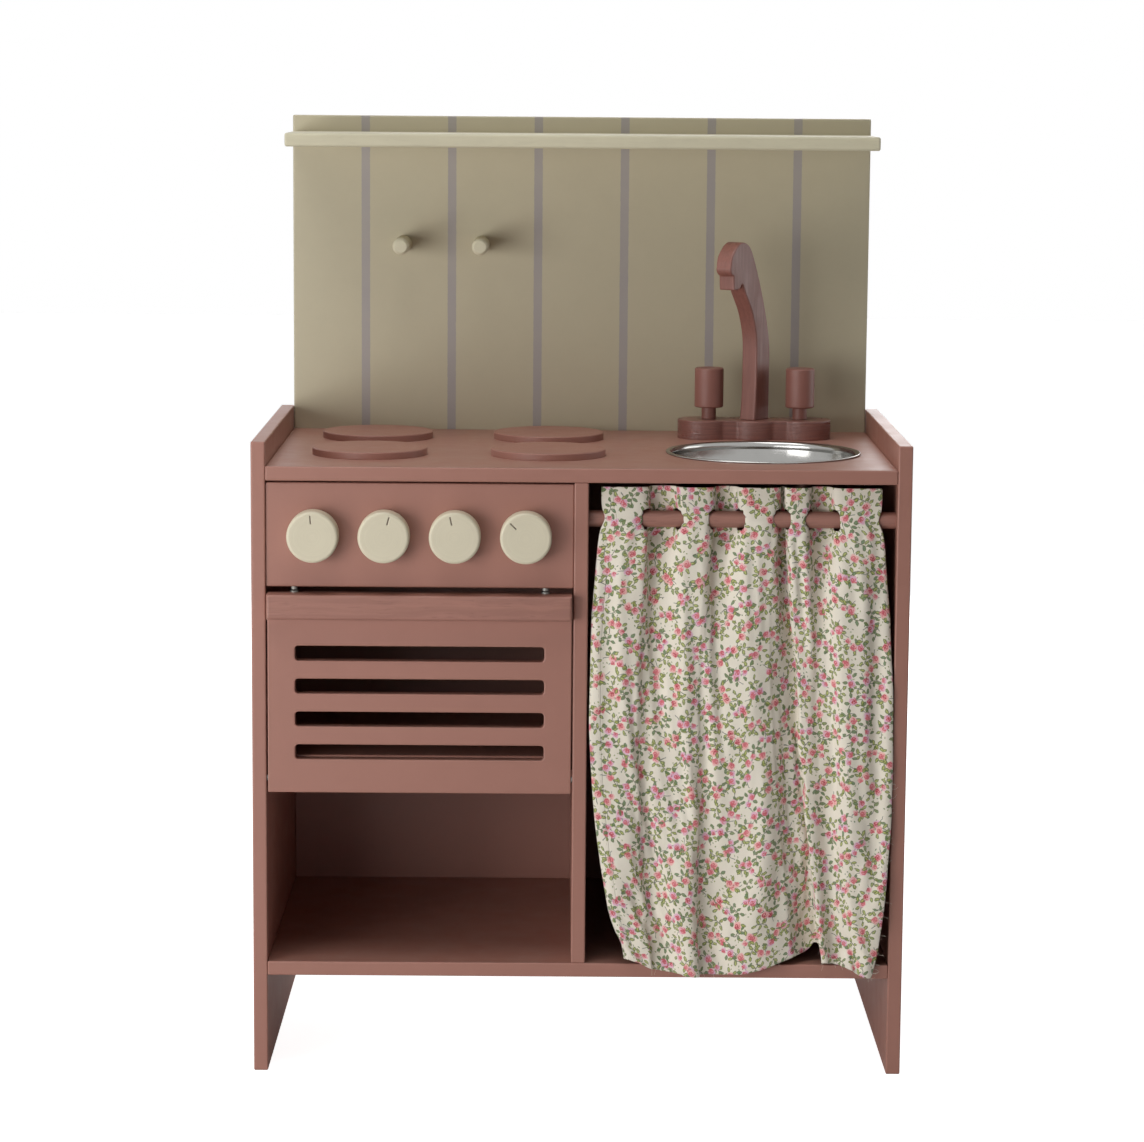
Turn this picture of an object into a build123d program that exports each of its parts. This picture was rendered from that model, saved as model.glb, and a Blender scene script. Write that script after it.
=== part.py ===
import os
from math import cos, radians, sin

from build123d import *

# Toy kitchen. X runs to the right, Y from front to back and Z up, with the origin on the
# floor, under the middle of the object's box. All sizes are in millimetres.

# Driving dimensions
case_width = 550
case_depth = 320
board = 12                     # thickness of the case boards
thin_board = 10                # thickness of the back panel and the splashback
side_height = 538
worktop_top = 517.5
shelf_top = 95.5
overall_height = 803
edge_round = 1.2               # softened edges of the painted boards
knob_stand_out = 17            # the knobs are the foremost pieces

# Places worked out from the driving dimensions
front = -(case_depth - knob_stand_out) / 2      # Y of the front plane of the case
inner = case_width / 2 - board                  # X of the side panels' inner faces
half_divider = board / 2
board_front = case_depth - thin_board           # distance from front plane to splashback
worktop_bottom = worktop_top - board
shelf_bottom = shelf_top - board
bay_middle = -(inner + half_divider) / 2        # X of the middle of the oven bay

# Control panel and knobs
panel_recess = 2
panel_bottom = 416.5
panel_gap = 1.4                # shadow line under the worktop
knob_radius = 21.5
knob_spacing = 59
knob_height = 460.5
knob_clearance = 0.5
knob_angles = [-5, 16, -12, -45]                # clockwise from upright, seen from the front
bolt_radius = 2.5
bolt_head_radius = 4.5
bolt_head_height = 3
washer_radius = 6
washer_thickness = 1
running_gap = 0.05             # radial clearance of turning fits
press_gap = 0.02               # radial clearance of pressed and glued fits
knob_edge_round = 2.6
mark_size = (1.1, 1.4, 7)      # the engraved mark: width, twice its depth, length
mark_radius = 14.6             # from the knob's middle to the mark's middle
bolt_hold = 10                 # how far a bolt goes into its knob

# Oven door
door_side_gap = 1.2
door_bottom = 241.7
door_top = 411.4
handle_height = 21
handle_thickness = 12
slot_count = 4
slot_width = 208.6
slot_height = 12.6
slot_pitch = 28
first_slot_height = 276.5
slot_corner = 3
pivot_height = 253
pivot_radius = 2.5
pivot_reach = 8                # how far each pin reaches into the boards beside the door
pin_hold = 20                  # how far each pin goes into the door
catch_offset = 105             # catches on each side of the bay's middle
catch_depth = 7
magnet_radius = 3
magnet_length = 10
magnet_bottom = 413.8          # the magnets stand a little out of the panel's lower edge
strike_radius = 3.5
strike_thickness = 1.4
strike_shank_radius = 1.6
strike_shank_length = 12
oven_floor_bottom = 259.5
oven_floor_front = 13

# Splashback, ledge and pegs
ledge_depth = 100
ledge_top = 788.5
ledge_half_width = 262.5
backboard_half_width = 262.6
peg_radius = 7.4
peg_length = 60
peg_spots = [-162, -91]
peg_height = 687.5
tenon_radius = 4
tenon_length = 8

# Hob
hob_radius = 49.3
hob_thickness = 6
hob_columns = {"left": -181.5, "right": -28.3}
hob_rows = {"front": 102, "rear": 238}

# Sink
sink_x = 158
sink_depth_place = 127         # distance of the sink's middle behind the front plane
rim_radius = 84
cut_out_radius = 80.4
bowl_radius = 79.6
bowl_depth = 46
bowl_floor_radius = 44
wall_mid_radius = 68           # the wall of the bowl halfway round its lower curve
wall_mid_rise = 11
steel = 1.2

# Faucet
faucet_x = 157
faucet_back = 253
faucet_thickness = 17
lobe_radius = 24
lobe_spacing = 45
waist_half_depth = 18
tap_spacing = 41
tap_radius = 13
tap_height = 46
neck_radius = 6.5
neck_height = 10.5
spout_thickness = 16
spout_turn = -38               # rest angle: turned towards the hob
foot_gap = 0.3
tap_bolt_reach = 28
spout_bolt_radius = 3
spout_bolt_head_radius = 5
spout_bolt_reach = 30
bolt_hole_depth = 17           # the hole in the foot of a tap; the spout's is deeper
spout_hole_depth = 19

# Curtain
rod_radius = 7
rod_back = 15
rod_height = 474
rod_seat = 5                   # depth of the blind holes that hold the rod
cloth_left = 18
cloth_right = 258
cloth_top = 501
hem_left = 7.5
hem_right = 17.5

# Fasteners: radius of the head and of the shank of each kind of screw
carcass_screw = (4.5, 2.5)
panel_screw = (3.6, 2)
base_screw = (3.6, 1.8)
small_screw = (3.2, 1.6)
screw_gap = 0.04               # clearance round screws and dowels in their holes
screw_head_rim = 0.6
carcass_length = 42
small_length = 30
dowel_radius = 3
front_row = 60                 # fasteners into the worktop and the shelf
middle_row = 155
rear_row = 250


def back_of(distance):
    # Y of a point this far behind the front plane
    return front + distance


def slab(x_span, back_span, z_span, rounding=0):
    # a board given by its span across, behind the front plane, and in height
    spans = [x_span, [back_of(value) for value in back_span], z_span]
    size = [high - low for low, high in spans]
    middle = [(high + low) / 2 for low, high in spans]
    body = Pos(*middle) * Box(*size)
    if rounding:
        body = fillet(body.edges(), rounding)
    return body


def bar(start, direction, radius, length):
    # a round bar from its start point along a direction
    shape = Cylinder(radius, length, align=(Align.CENTER, Align.CENTER, Align.MIN))
    return Plane(origin=start, z_dir=direction) * shape


def screw_form(start, direction, length, head_radius, shank_radius, gap=0):
    # countersunk screw with its head flush at the start point; a gap makes its hole
    head = head_radius + gap
    shank = shank_radius + gap
    cone_end = screw_head_rim + head_radius - shank_radius
    tip_start = length - 2 * shank_radius
    outline = Polyline((0, 0), (head, 0), (head, screw_head_rim), (shank, cone_end + gap),
                       (shank, tip_start + gap), (0, length + gap), close=True)
    body = revolve(Plane.XZ * make_face(outline), Axis.Z)
    return Plane(origin=start, z_dir=direction) * body


def drive_recess(start, direction, head_radius):
    # the cross in a screw's head
    arm = head_radius * 1.1
    cross = Box(arm, 0.9, 3) + Box(0.9, arm, 3)
    return Plane(origin=start, z_dir=direction) * cross


def in_reach(body, void):
    # whether the boxes of the two shapes meet
    a = body.bounding_box()
    b = void.bounding_box()
    clear = (a.max.X < b.min.X, b.max.X < a.min.X, a.max.Y < b.min.Y, b.max.Y < a.min.Y,
             a.max.Z < b.min.Z, b.max.Z < a.min.Z)
    return not any(clear)


def bored(body, voids):
    # the body with every hole that reaches it cut away
    for void in voids:
        if in_reach(body, void):
            body = body - void
    return body


class Fasteners:
    # one kind of fastener: its pieces and the holes that they sit in
    def __init__(self):
        self.pieces = []
        self.holes = []

    def screw(self, start, direction, length, head_radius, shank_radius):
        body = screw_form(start, direction, length, head_radius, shank_radius)
        self.pieces.append(body - drive_recess(start, direction, head_radius))
        self.holes.append(
            screw_form(start, direction, length, head_radius, shank_radius, screw_gap))

    def dowel(self, start, direction, radius, length):
        body = bar(start, direction, radius, length)
        self.pieces.append(chamfer(body.edges().filter_by(GeomType.CIRCLE), 0.7))
        hole_start = Vector(*start) - Vector(*direction) * 0.5
        self.holes.append(bar(hole_start, direction, radius + screw_gap, length + 1))


def carcass_screws():
    # long screws through the side panels, the divider and the bottom shelf
    kind = Fasteners()
    outside = case_width / 2
    for side in (-1, 1):
        for height in (worktop_top - board / 2, shelf_top - board / 2):
            for back in (front_row, rear_row):
                start = (side * outside, back_of(back), height)
                kind.screw(start, (-side, 0, 0), carcass_length, *carcass_screw)
    floor_middle = oven_floor_bottom + board / 2
    for back in (80, 230):
        start = (-outside, back_of(back), floor_middle)
        kind.screw(start, (1, 0, 0), carcass_length, *carcass_screw)
        start = (half_divider, back_of(back), floor_middle)
        kind.screw(start, (-1, 0, 0), carcass_length - 4, *carcass_screw)
    for back in (front_row, rear_row):
        start = (0, back_of(back), shelf_bottom)
        kind.screw(start, (0, 0, 1), carcass_length, *carcass_screw)
    return kind


def carcass_dowels():
    # wooden dowels that line the boards up
    kind = Fasteners()
    for side in (-1, 1):
        for height in (worktop_top - board / 2, shelf_top - board / 2):
            start = (side * (inner + 8), back_of(middle_row), height)
            kind.dowel(start, (-side, 0, 0), dowel_radius, 30)
    for back in (front_row, middle_row, rear_row):
        start = (0, back_of(back), worktop_bottom - 20)
        kind.dowel(start, (0, 0, 1), dowel_radius, 28)
    kind.dowel((0, back_of(middle_row), shelf_bottom + 4), (0, 0, 1), dowel_radius, 28)
    return kind


def control_panel_screws():
    # two screws through the left side panel and two through the divider
    kind = Fasteners()
    middle = panel_recess + board / 2
    for height in (438, 482):
        kind.screw((-case_width / 2, back_of(middle), height), (1, 0, 0), 38, *panel_screw)
        kind.screw((half_divider, back_of(middle), height), (-1, 0, 0), 34, *panel_screw)
    return kind


def back_panel_screws():
    # screws from behind into the divider, the shelf and the oven floor
    kind = Fasteners()
    for height in (150, 330, 460):
        start = (0, back_of(case_depth), height)
        kind.screw(start, (0, -1, 0), small_length, *small_screw)
    for across in (-230, -115, 115, 230):
        start = (across, back_of(case_depth), shelf_top - board / 2)
        kind.screw(start, (0, -1, 0), small_length, *small_screw)
    for across in (-200, -70):
        start = (across, back_of(case_depth), oven_floor_bottom + board / 2)
        kind.screw(start, (0, -1, 0), small_length, *small_screw)
    return kind


def backboard_screws():
    # screws from behind into the worktop and from the sides into the splashback's edges
    kind = Fasteners()
    for across in (-220, -75, 75, 220):
        start = (across, back_of(case_depth), worktop_top - board / 2)
        kind.screw(start, (0, -1, 0), small_length, *small_screw)
    for side in (-1, 1):
        start = (side * case_width / 2, back_of(case_depth - thin_board / 2), 528)
        kind.screw(start, (-side, 0, 0), 36, *small_screw)
    return kind


def ledge_screws():
    # screws from behind the splashback into the ledge's rear edge
    kind = Fasteners()
    for across in (-200, 0, 200):
        start = (across, back_of(case_depth), ledge_top - board / 2)
        kind.screw(start, (0, -1, 0), 36, *small_screw)
    return kind


def hob_screws():
    # two screws up through the worktop into each hob plate
    kind = Fasteners()
    for across in hob_columns.values():
        for back in hob_rows.values():
            for shift in (-20, 20):
                start = (across + shift, back_of(back), worktop_bottom)
                kind.screw(start, (0, 0, 1), 16.5, *small_screw)
    return kind


def faucet_screws():
    # two screws up through the worktop into the faucet base
    kind = Fasteners()
    for shift in (-21, 21):
        start = (faucet_x + shift, back_of(faucet_back), worktop_bottom)
        kind.screw(start, (0, 0, 1), 24, *base_screw)
    return kind


def handle_screws():
    # screws from the door's inner face into the handle rail
    kind = Fasteners()
    for shift in (-80, 0, 80):
        start = (bay_middle + shift, back_of(board), door_top - handle_height / 2)
        kind.screw(start, (0, -1, 0), 20, *base_screw)
    return kind


def side_panel(side, voids):
    x_span = sorted((side * inner, side * case_width / 2))
    return bored(slab(x_span, (0, case_depth), (0, side_height), edge_round), voids)


def worktop(voids):
    top = slab((-inner, inner), (0, board_front), (worktop_bottom, worktop_top), edge_round)
    cut = bar((sink_x, back_of(sink_depth_place), worktop_bottom - 1), (0, 0, 1),
              cut_out_radius, board + 2)
    return bored(top - cut, voids)


def bottom_shelf(voids):
    shelf = slab((-inner, inner), (0, board_front), (shelf_bottom, shelf_top), edge_round)
    return bored(shelf, voids)


def centre_divider(voids):
    span = (-half_divider, half_divider)
    divider = slab(span, (0.3, board_front), (shelf_top, worktop_bottom), edge_round)
    return bored(divider, voids)


def control_panel(voids):
    panel = slab((-inner, -half_divider), (panel_recess, panel_recess + board),
                 (panel_bottom, worktop_bottom - panel_gap), edge_round)
    for across in knob_places():
        start = (across, back_of(0), knob_height)
        panel -= bar(start, (0, 1, 0), bolt_radius + running_gap, 2 * board)
    return bored(panel, voids)


def oven_floor(voids):
    floor = slab((-inner, -half_divider), (oven_floor_front, board_front),
                 (oven_floor_bottom, oven_floor_bottom + board), edge_round)
    return bored(floor, voids)


def back_panel(voids):
    return bored(slab((-inner, inner), (board_front, case_depth), (shelf_bottom, worktop_bottom), 0.8),
                 voids)


def backboard(voids):
    panel = slab((-backboard_half_width, backboard_half_width), (board_front, case_depth),
                 (worktop_bottom, overall_height), edge_round)
    return bored(panel, voids)


def top_ledge(voids):
    ledge = slab((-ledge_half_width, ledge_half_width), (board_front - ledge_depth, board_front),
                 (ledge_top - board, ledge_top), 2)
    return bored(ledge, voids)


def peg(across):
    # a turned peg whose tenon is glued into the splashback
    start = (across, back_of(board_front), peg_height)
    shaft = bar(start, (0, -1, 0), peg_radius, peg_length)
    tip = shaft.edges().filter_by(GeomType.CIRCLE).sort_by(Axis.Y)[0]
    return chamfer(tip, 2) + peg_tenon(across, 0)


def peg_tenon(across, gap):
    start = (across, back_of(board_front), peg_height)
    return bar(start, (0, 1, 0), tenon_radius + gap, tenon_length + gap)


def hob_plate(across, back, voids):
    plate = bar((across, back_of(back), worktop_top), (0, 0, 1), hob_radius, hob_thickness)
    top_edge = plate.edges().sort_by(Axis.Z)[-1]
    return bored(fillet(top_edge, 0.9), voids)


def sink_bowl():
    # pressed steel bowl: a rolled rim on the worktop, a dished wall and a flat floor
    inner_wall = bowl_radius - steel
    floor_level = worktop_top - bowl_depth
    outline = Polyline((0, floor_level), (bowl_floor_radius, floor_level))
    outline += Spline((bowl_floor_radius, floor_level),
                      (wall_mid_radius, floor_level + wall_mid_rise),
                      (bowl_radius, worktop_top - 5), tangents=[(1, 0), (0.12, 1)])
    outline += Polyline((bowl_radius, worktop_top - 5), (bowl_radius, worktop_top),
                        (rim_radius, worktop_top))
    outline += ThreePointArc((rim_radius, worktop_top), (rim_radius + 0.5, worktop_top + 1),
                             (rim_radius - 0.7, worktop_top + 1.8))
    outline += Spline((rim_radius - 0.7, worktop_top + 1.8), (bowl_radius, worktop_top + 0.9),
                      (inner_wall, worktop_top - 3), tangents=[(-1, 0), (0, -1)])
    outline += Polyline((inner_wall, worktop_top - 3), (inner_wall, worktop_top - 5))
    outline += Spline((inner_wall, worktop_top - 5),
                      (wall_mid_radius - 1, floor_level + steel + wall_mid_rise + 0.5),
                      (bowl_floor_radius, floor_level + steel), tangents=[(-0.12, -1), (-1, 0)])
    outline += Polyline((bowl_floor_radius, floor_level + steel), (0, floor_level + steel),
                        (0, floor_level))
    body = revolve(Plane.XZ * make_face(outline), Axis.Z)
    return Pos(sink_x, back_of(sink_depth_place), 0) * body


def faucet_base(voids):
    # three round lobes in a row, joined by a narrower waist
    shape = Rectangle(2 * lobe_spacing, 2 * waist_half_depth)
    for shift in (-lobe_spacing, 0, lobe_spacing):
        shape += Pos(shift, 0) * Circle(lobe_radius)
    waist_corners = [corner for corner in shape.vertices()
                     if abs(abs(corner.Y) - waist_half_depth) < 0.1]
    shape = fillet(waist_corners, 6)
    body = extrude(shape, faucet_thickness)
    body = fillet(body.faces().sort_by(Axis.Z)[-1].edges(), 0.8)
    body = Pos(faucet_x, back_of(faucet_back), worktop_top) * body
    return bored(body, voids)


def turning_bolt(across, shank_radius, head_radius, reach):
    # an upright bolt whose head sits in a pocket under the faucet base
    middle = back_of(faucet_back)
    head_bottom = worktop_top + 0.3
    head = bar((across, middle, head_bottom), (0, 0, 1), head_radius, bolt_head_height)
    shank = bar((across, middle, head_bottom + bolt_head_height), (0, 0, 1), shank_radius, reach)
    return head + shank


def turning_bolt_hole(across, shank_radius, head_radius):
    middle = back_of(faucet_back)
    pocket = bar((across, middle, worktop_top - 1), (0, 0, 1), head_radius + 0.6,
                 bolt_head_height + 1.6)
    shank = bar((across, middle, worktop_top), (0, 0, 1), shank_radius + running_gap,
                faucet_thickness + 1)
    return pocket + shank


def tap_handle(across):
    # a cap on a thinner neck, turned from one piece
    foot = worktop_top + faucet_thickness + foot_gap
    top = foot + tap_height
    outline = Polyline((0, foot), (neck_radius, foot), (neck_radius, foot + neck_height),
                       (tap_radius - 1, foot + neck_height), (tap_radius, foot + neck_height + 1),
                       (tap_radius, top - 1), (tap_radius - 1, top), (0, top), close=True)
    body = revolve(Plane.XZ * make_face(outline), Axis.Z)
    body = Pos(across, back_of(faucet_back), 0) * body
    return body - bar((across, back_of(faucet_back), foot - 1), (0, 0, 1),
                      bolt_radius + press_gap, bolt_hole_depth)


def spout_outline():
    # side view of the spout: distance forward of its bolt, and height above its foot
    back_edge = Line((-11.7, 0), (-12, 58))
    back_edge += Spline((-12, 58), (-6.8, 89), (4, 121), (15, 146), (31, 160),
                        tangents=[(0, 1), (1, 0.12)])
    crown = Spline((31, 160), (44.5, 153.5), (51, 139), tangents=[(1, 0.12), (0, -1)])
    bead = ThreePointArc((51, 139), (50.6, 133.5), (46.6, 130.6))
    nozzle = Polyline((46.6, 130.6), (45.8, 118), (40, 118))
    underside = ThreePointArc((40, 118), (35.8, 119.6), (33, 124))
    front_edge = Spline((33, 124), (27, 113), (18.6, 100), (12.2, 84), (9, 58),
                        tangents=[(-0.5, -1), (0, -1)])
    front_edge += Spline((9, 58), (9.3, 30), (11.7, 0), tangents=[(0, -1), (0.12, -1)])
    foot = Line((11.7, 0), (-11.7, 0))
    face = make_face(back_edge + crown + bead + nozzle + underside + front_edge + foot)
    sharp = [(46.6, 130.6), (45.8, 118), (33, 124)]
    corners = [corner for corner in face.vertices()
               if any(abs(corner.X - x) < 0.1 and abs(corner.Y - y) < 0.1 for x, y in sharp)]
    return fillet(corners, 1)


def spout():
    side = Plane(origin=(0, 0, 0), x_dir=(0, -1, 0), z_dir=(-1, 0, 0)) * spout_outline()
    body = extrude(side, spout_thickness / 2, both=True)
    rims = [edge for face in (body.faces().sort_by(Axis.X)[0], body.faces().sort_by(Axis.X)[-1])
            for edge in face.edges() if edge.bounding_box().max.Z > 1]
    body = fillet(rims, 1.3)
    body -= bar((0, 0, -1), (0, 0, 1), spout_bolt_radius + press_gap, spout_hole_depth)
    foot = worktop_top + faucet_thickness + foot_gap
    return Pos(faucet_x, back_of(faucet_back), foot) * Rot(0, 0, spout_turn) * body


def curtain_rod():
    return bar((half_divider - rod_seat + 0.2, back_of(rod_back), rod_height), (1, 0, 0),
               rod_radius, inner - half_divider + 2 * rod_seat - 0.4)


def rod_seats():
    start = (half_divider - rod_seat, back_of(rod_back), rod_height)
    return bar(start, (1, 0, 0), rod_radius + 0.08, inner - half_divider + 2 * rod_seat)


def curtain_profile(points):
    corners = [(back_of(back), height) for back, height in points]
    return Plane.YZ * make_face(Polyline(*corners, close=True))


def curtain_cloth():
    # plain outer form of the gathered cloth: round the rod at the top, in front of the
    # bottom shelf at the hem
    side = curtain_profile([(3, cloth_top), (3, 466), (-13, 110), (-13, 85), (-0.8, 85),
                            (-0.8, 104), (13, 455), (27, 462), (27, cloth_top)])
    body = Pos(cloth_left, 0, 0) * extrude(side, cloth_right - cloth_left)
    channel = bar((0, back_of(rod_back), rod_height), (1, 0, 0), rod_radius + 0.4, inner)
    return body - channel


def curtain_leading_hem():
    # the sewn edge that is pulled along, with its loop round the rod
    side = curtain_profile([(3.5, cloth_top - 2), (3.5, 466), (-9.5, 110), (-9.5, 86), (-7, 86),
                            (-7, 110), (6, 466), (6, cloth_top - 2)])
    strip = Pos(hem_left, 0, 0) * extrude(side, hem_right - hem_left)
    loop_start = (hem_left, back_of(rod_back), rod_height)
    loop = bar(loop_start, (1, 0, 0), rod_radius + 2.4, hem_right - hem_left)
    hole = bar((0, back_of(rod_back), rod_height), (1, 0, 0), rod_radius + 0.4, 2 * hem_right)
    return strip + loop - hole


def door_panel(voids):
    left = -inner + door_side_gap
    right = -half_divider - door_side_gap
    panel = slab((left, right), (0, board), (door_bottom, door_top))
    for number in range(slot_count):
        outline = RectangleRounded(slot_width, slot_height, slot_corner)
        height = first_slot_height + number * slot_pitch
        plane = Plane(origin=(bay_middle, back_of(-1), height), x_dir=(1, 0, 0), z_dir=(0, -1, 0))
        panel -= extrude(plane * outline, -2 * board)
    panel = fillet(panel.edges(), 0.9)
    return bored(panel, voids)


def door_handle(voids):
    left = -inner + door_side_gap
    right = -half_divider - door_side_gap
    rail = slab((left, right), (-handle_thickness, 0), (door_top - handle_height, door_top))
    front_edges = rail.faces().sort_by(Axis.Y)[0].edges()
    return bored(fillet(front_edges, 2.2), voids)


def pivot_pins():
    # a pin in each edge of the door, reaching into the board beside it
    pins = []
    for edge, direction in ((-inner, -1), (-half_divider, 1)):
        start = (edge - direction * pin_hold, back_of(board / 2), pivot_height)
        pin = bar(start, (direction, 0, 0), pivot_radius, pin_hold + pivot_reach)
        pins.append(chamfer(pin.edges().filter_by(GeomType.CIRCLE), 0.5))
    return pins


def pivot_holes():
    # blind holes in the boards beside the door, where the pins turn
    holes = []
    for edge, direction in ((-inner, -1), (-half_divider, 1)):
        start = (edge, back_of(board / 2), pivot_height)
        holes.append(bar(start, (direction, 0, 0), pivot_radius + running_gap, pivot_reach + 0.6))
    return holes


def pin_seats():
    # the pins' own holes in the door's edges
    seats = []
    for edge, direction in ((-inner, -1), (-half_divider, 1)):
        start = (edge - direction * (pin_hold + 0.3), back_of(board / 2), pivot_height)
        seats.append(bar(start, (direction, 0, 0), pivot_radius + press_gap, pin_hold + 1))
    return seats


def catch_places():
    return [bay_middle - catch_offset, bay_middle + catch_offset]


def catch_magnets(gap=0):
    # magnets in the panel's lower edge, standing a little out of it
    return [bar((across, back_of(catch_depth), magnet_bottom - gap), (0, 0, 1),
                magnet_radius + gap, magnet_length + gap)
            for across in catch_places()]


def door_strikes(gap=0):
    # steel studs in the door's top edge, one under each magnet
    studs = []
    for across in catch_places():
        middle = back_of(catch_depth)
        head = bar((across, middle, door_top), (0, 0, 1), strike_radius, strike_thickness)
        shank = bar((across, middle, door_top - strike_shank_length), (0, 0, 1),
                    strike_shank_radius + gap, strike_shank_length)
        studs.append(head + shank)
    return studs


def knob_places():
    first = bay_middle - 1.5 * knob_spacing
    return [first + number * knob_spacing for number in range(len(knob_angles))]


def knob(across, angle):
    # a turned disc with a soft front edge and an engraved mark
    back_face = panel_recess - knob_clearance
    thickness = knob_stand_out + back_face
    disc = bar((across, back_of(back_face), knob_height), (0, -1, 0), knob_radius, thickness)
    disc = fillet(disc.edges().sort_by(Axis.Y)[0], knob_edge_round)
    disc = chamfer(disc.edges().sort_by(Axis.Y)[-1], 0.6)
    place = (across + mark_radius * sin(radians(angle)), back_of(-knob_stand_out),
             knob_height + mark_radius * cos(radians(angle)))
    disc -= Pos(*place) * Rot(0, angle, 0) * Box(*mark_size)
    hole_start = (across, back_of(back_face + 1), knob_height)
    return disc - bar(hole_start, (0, -1, 0), bolt_radius + press_gap, bolt_hold + 2)


def knob_bolt(across):
    panel_back = panel_recess + board
    head_start = panel_back + washer_thickness + 0.2
    shank = bar((across, back_of(head_start), knob_height), (0, -1, 0), bolt_radius,
                head_start - panel_recess + knob_clearance + bolt_hold)
    head = bar((across, back_of(head_start), knob_height), (0, 1, 0), bolt_head_radius,
               bolt_head_height)
    socket = bar((across, back_of(head_start + 1.2), knob_height), (0, 1, 0), 1.5, 3)
    return shank + head - socket


def knob_washer(across):
    start = (across, back_of(panel_recess + board + 0.1), knob_height)
    disc = bar(start, (0, 1, 0), washer_radius, washer_thickness)
    return disc - bar((across, back_of(0), knob_height), (0, 1, 0), bolt_radius + press_gap, 2 * board)


def save(name, shape):
    # one solid, or a group of separate solids, to one file
    if isinstance(shape, list):
        shape = Compound(children=shape)
    export_step(shape, f"parts/{name}.step")


def main():
    os.makedirs("parts", exist_ok=True)
    groups = {
        "carcass_screws": carcass_screws(),
        "carcass_dowels": carcass_dowels(),
        "control_panel_screws": control_panel_screws(),
        "back_panel_screws": back_panel_screws(),
        "backboard_screws": backboard_screws(),
        "ledge_screws": ledge_screws(),
        "hob_screws": hob_screws(),
        "faucet_screws": faucet_screws(),
        "door_handle_screws": handle_screws(),
    }
    voids = [hole for kind in groups.values() for hole in kind.holes]
    for name, kind in groups.items():
        save(name, kind.pieces)

    save("left_side_panel", side_panel(-1, voids + pivot_holes()))
    save("right_side_panel", side_panel(1, voids + [rod_seats()]))
    save("worktop", worktop(voids))
    save("bottom_shelf", bottom_shelf(voids))
    save("centre_divider", centre_divider(voids + pivot_holes() + [rod_seats()]))
    save("control_panel", control_panel(voids + catch_magnets(press_gap)))
    save("catch_magnets", catch_magnets())
    save("oven_floor", oven_floor(voids))
    save("back_panel", back_panel(voids))
    save("backboard", backboard(voids + [peg_tenon(across, screw_gap) for across in peg_spots]))
    save("top_ledge", top_ledge(voids))
    for side, across in zip(("left", "right"), peg_spots):
        save(f"peg_{side}", peg(across))
    for side, across in hob_columns.items():
        for row, back in hob_rows.items():
            save(f"hob_{row}_{side}", hob_plate(across, back, voids))

    save("sink_bowl", sink_bowl())
    tap_places = {"left": faucet_x - tap_spacing, "right": faucet_x + tap_spacing}
    bolt_holes = [turning_bolt_hole(across, bolt_radius, bolt_head_radius)
                  for across in tap_places.values()]
    bolt_holes.append(turning_bolt_hole(faucet_x, spout_bolt_radius, spout_bolt_head_radius))
    save("faucet_base", faucet_base(voids + bolt_holes))
    for side, across in tap_places.items():
        save(f"tap_{side}", tap_handle(across))
        bolt = turning_bolt(across, bolt_radius, bolt_head_radius, tap_bolt_reach)
        save(f"tap_bolt_{side}", bolt)
    save("spout", spout())
    save("spout_bolt", turning_bolt(faucet_x, spout_bolt_radius, spout_bolt_head_radius,
                                    spout_bolt_reach))

    save("curtain_rod", curtain_rod())
    save("curtain_cloth", curtain_cloth())
    save("curtain_leading_hem", curtain_leading_hem())

    save("oven_door_panel", door_panel(voids + pin_seats() + door_strikes(press_gap)))
    save("door_handle", door_handle(voids))
    save("door_pivot_pins", pivot_pins())
    save("door_strikes", door_strikes())
    for number, (across, angle) in enumerate(zip(knob_places(), knob_angles), start=1):
        save(f"knob_{number}", knob(across, angle))
        save(f"knob_bolt_{number}", knob_bolt(across))
        save(f"knob_washer_{number}", knob_washer(across))


main()
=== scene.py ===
import math
import random

import bpy
import numpy as np
from mathutils import Matrix, Vector


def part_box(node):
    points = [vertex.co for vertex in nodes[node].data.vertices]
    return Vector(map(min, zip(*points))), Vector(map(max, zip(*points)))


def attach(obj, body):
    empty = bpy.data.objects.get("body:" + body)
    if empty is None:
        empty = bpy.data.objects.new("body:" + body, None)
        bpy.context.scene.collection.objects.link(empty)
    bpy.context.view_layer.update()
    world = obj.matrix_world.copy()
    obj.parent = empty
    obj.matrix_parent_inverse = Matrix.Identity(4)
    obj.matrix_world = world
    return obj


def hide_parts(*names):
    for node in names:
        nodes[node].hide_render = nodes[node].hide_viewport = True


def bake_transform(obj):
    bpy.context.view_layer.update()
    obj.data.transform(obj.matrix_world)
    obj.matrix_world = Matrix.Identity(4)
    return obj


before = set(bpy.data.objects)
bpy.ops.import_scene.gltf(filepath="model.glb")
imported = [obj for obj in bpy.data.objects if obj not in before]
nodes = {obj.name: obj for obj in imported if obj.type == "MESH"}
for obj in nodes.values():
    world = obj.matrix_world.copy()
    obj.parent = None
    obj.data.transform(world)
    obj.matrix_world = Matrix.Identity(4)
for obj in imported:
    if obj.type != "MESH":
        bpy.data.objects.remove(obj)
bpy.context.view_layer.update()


# ---- places that the frame gives

def spanOf(name):
    # lowest corner, highest corner and middle of a node
    low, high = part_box(name)
    return low, high, (low + high) / 2


frontY = spanOf("left_side_panel")[0].y  # the front edges of the side panels
rodMiddle = spanOf("curtain_rod")[2]


# ---- camera

camera = {
    "place": (-0.021, -2.9551, 0.8404),  # in front of the kitchen, a little above the worktop
    "turn": -0.0048,
    "tilt": 0.1448,  # looking slightly down
    "roll": 0.0078,
    "lens": 106.96,
    "sensor": 36.0,
    "farthest": 30,
}


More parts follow.
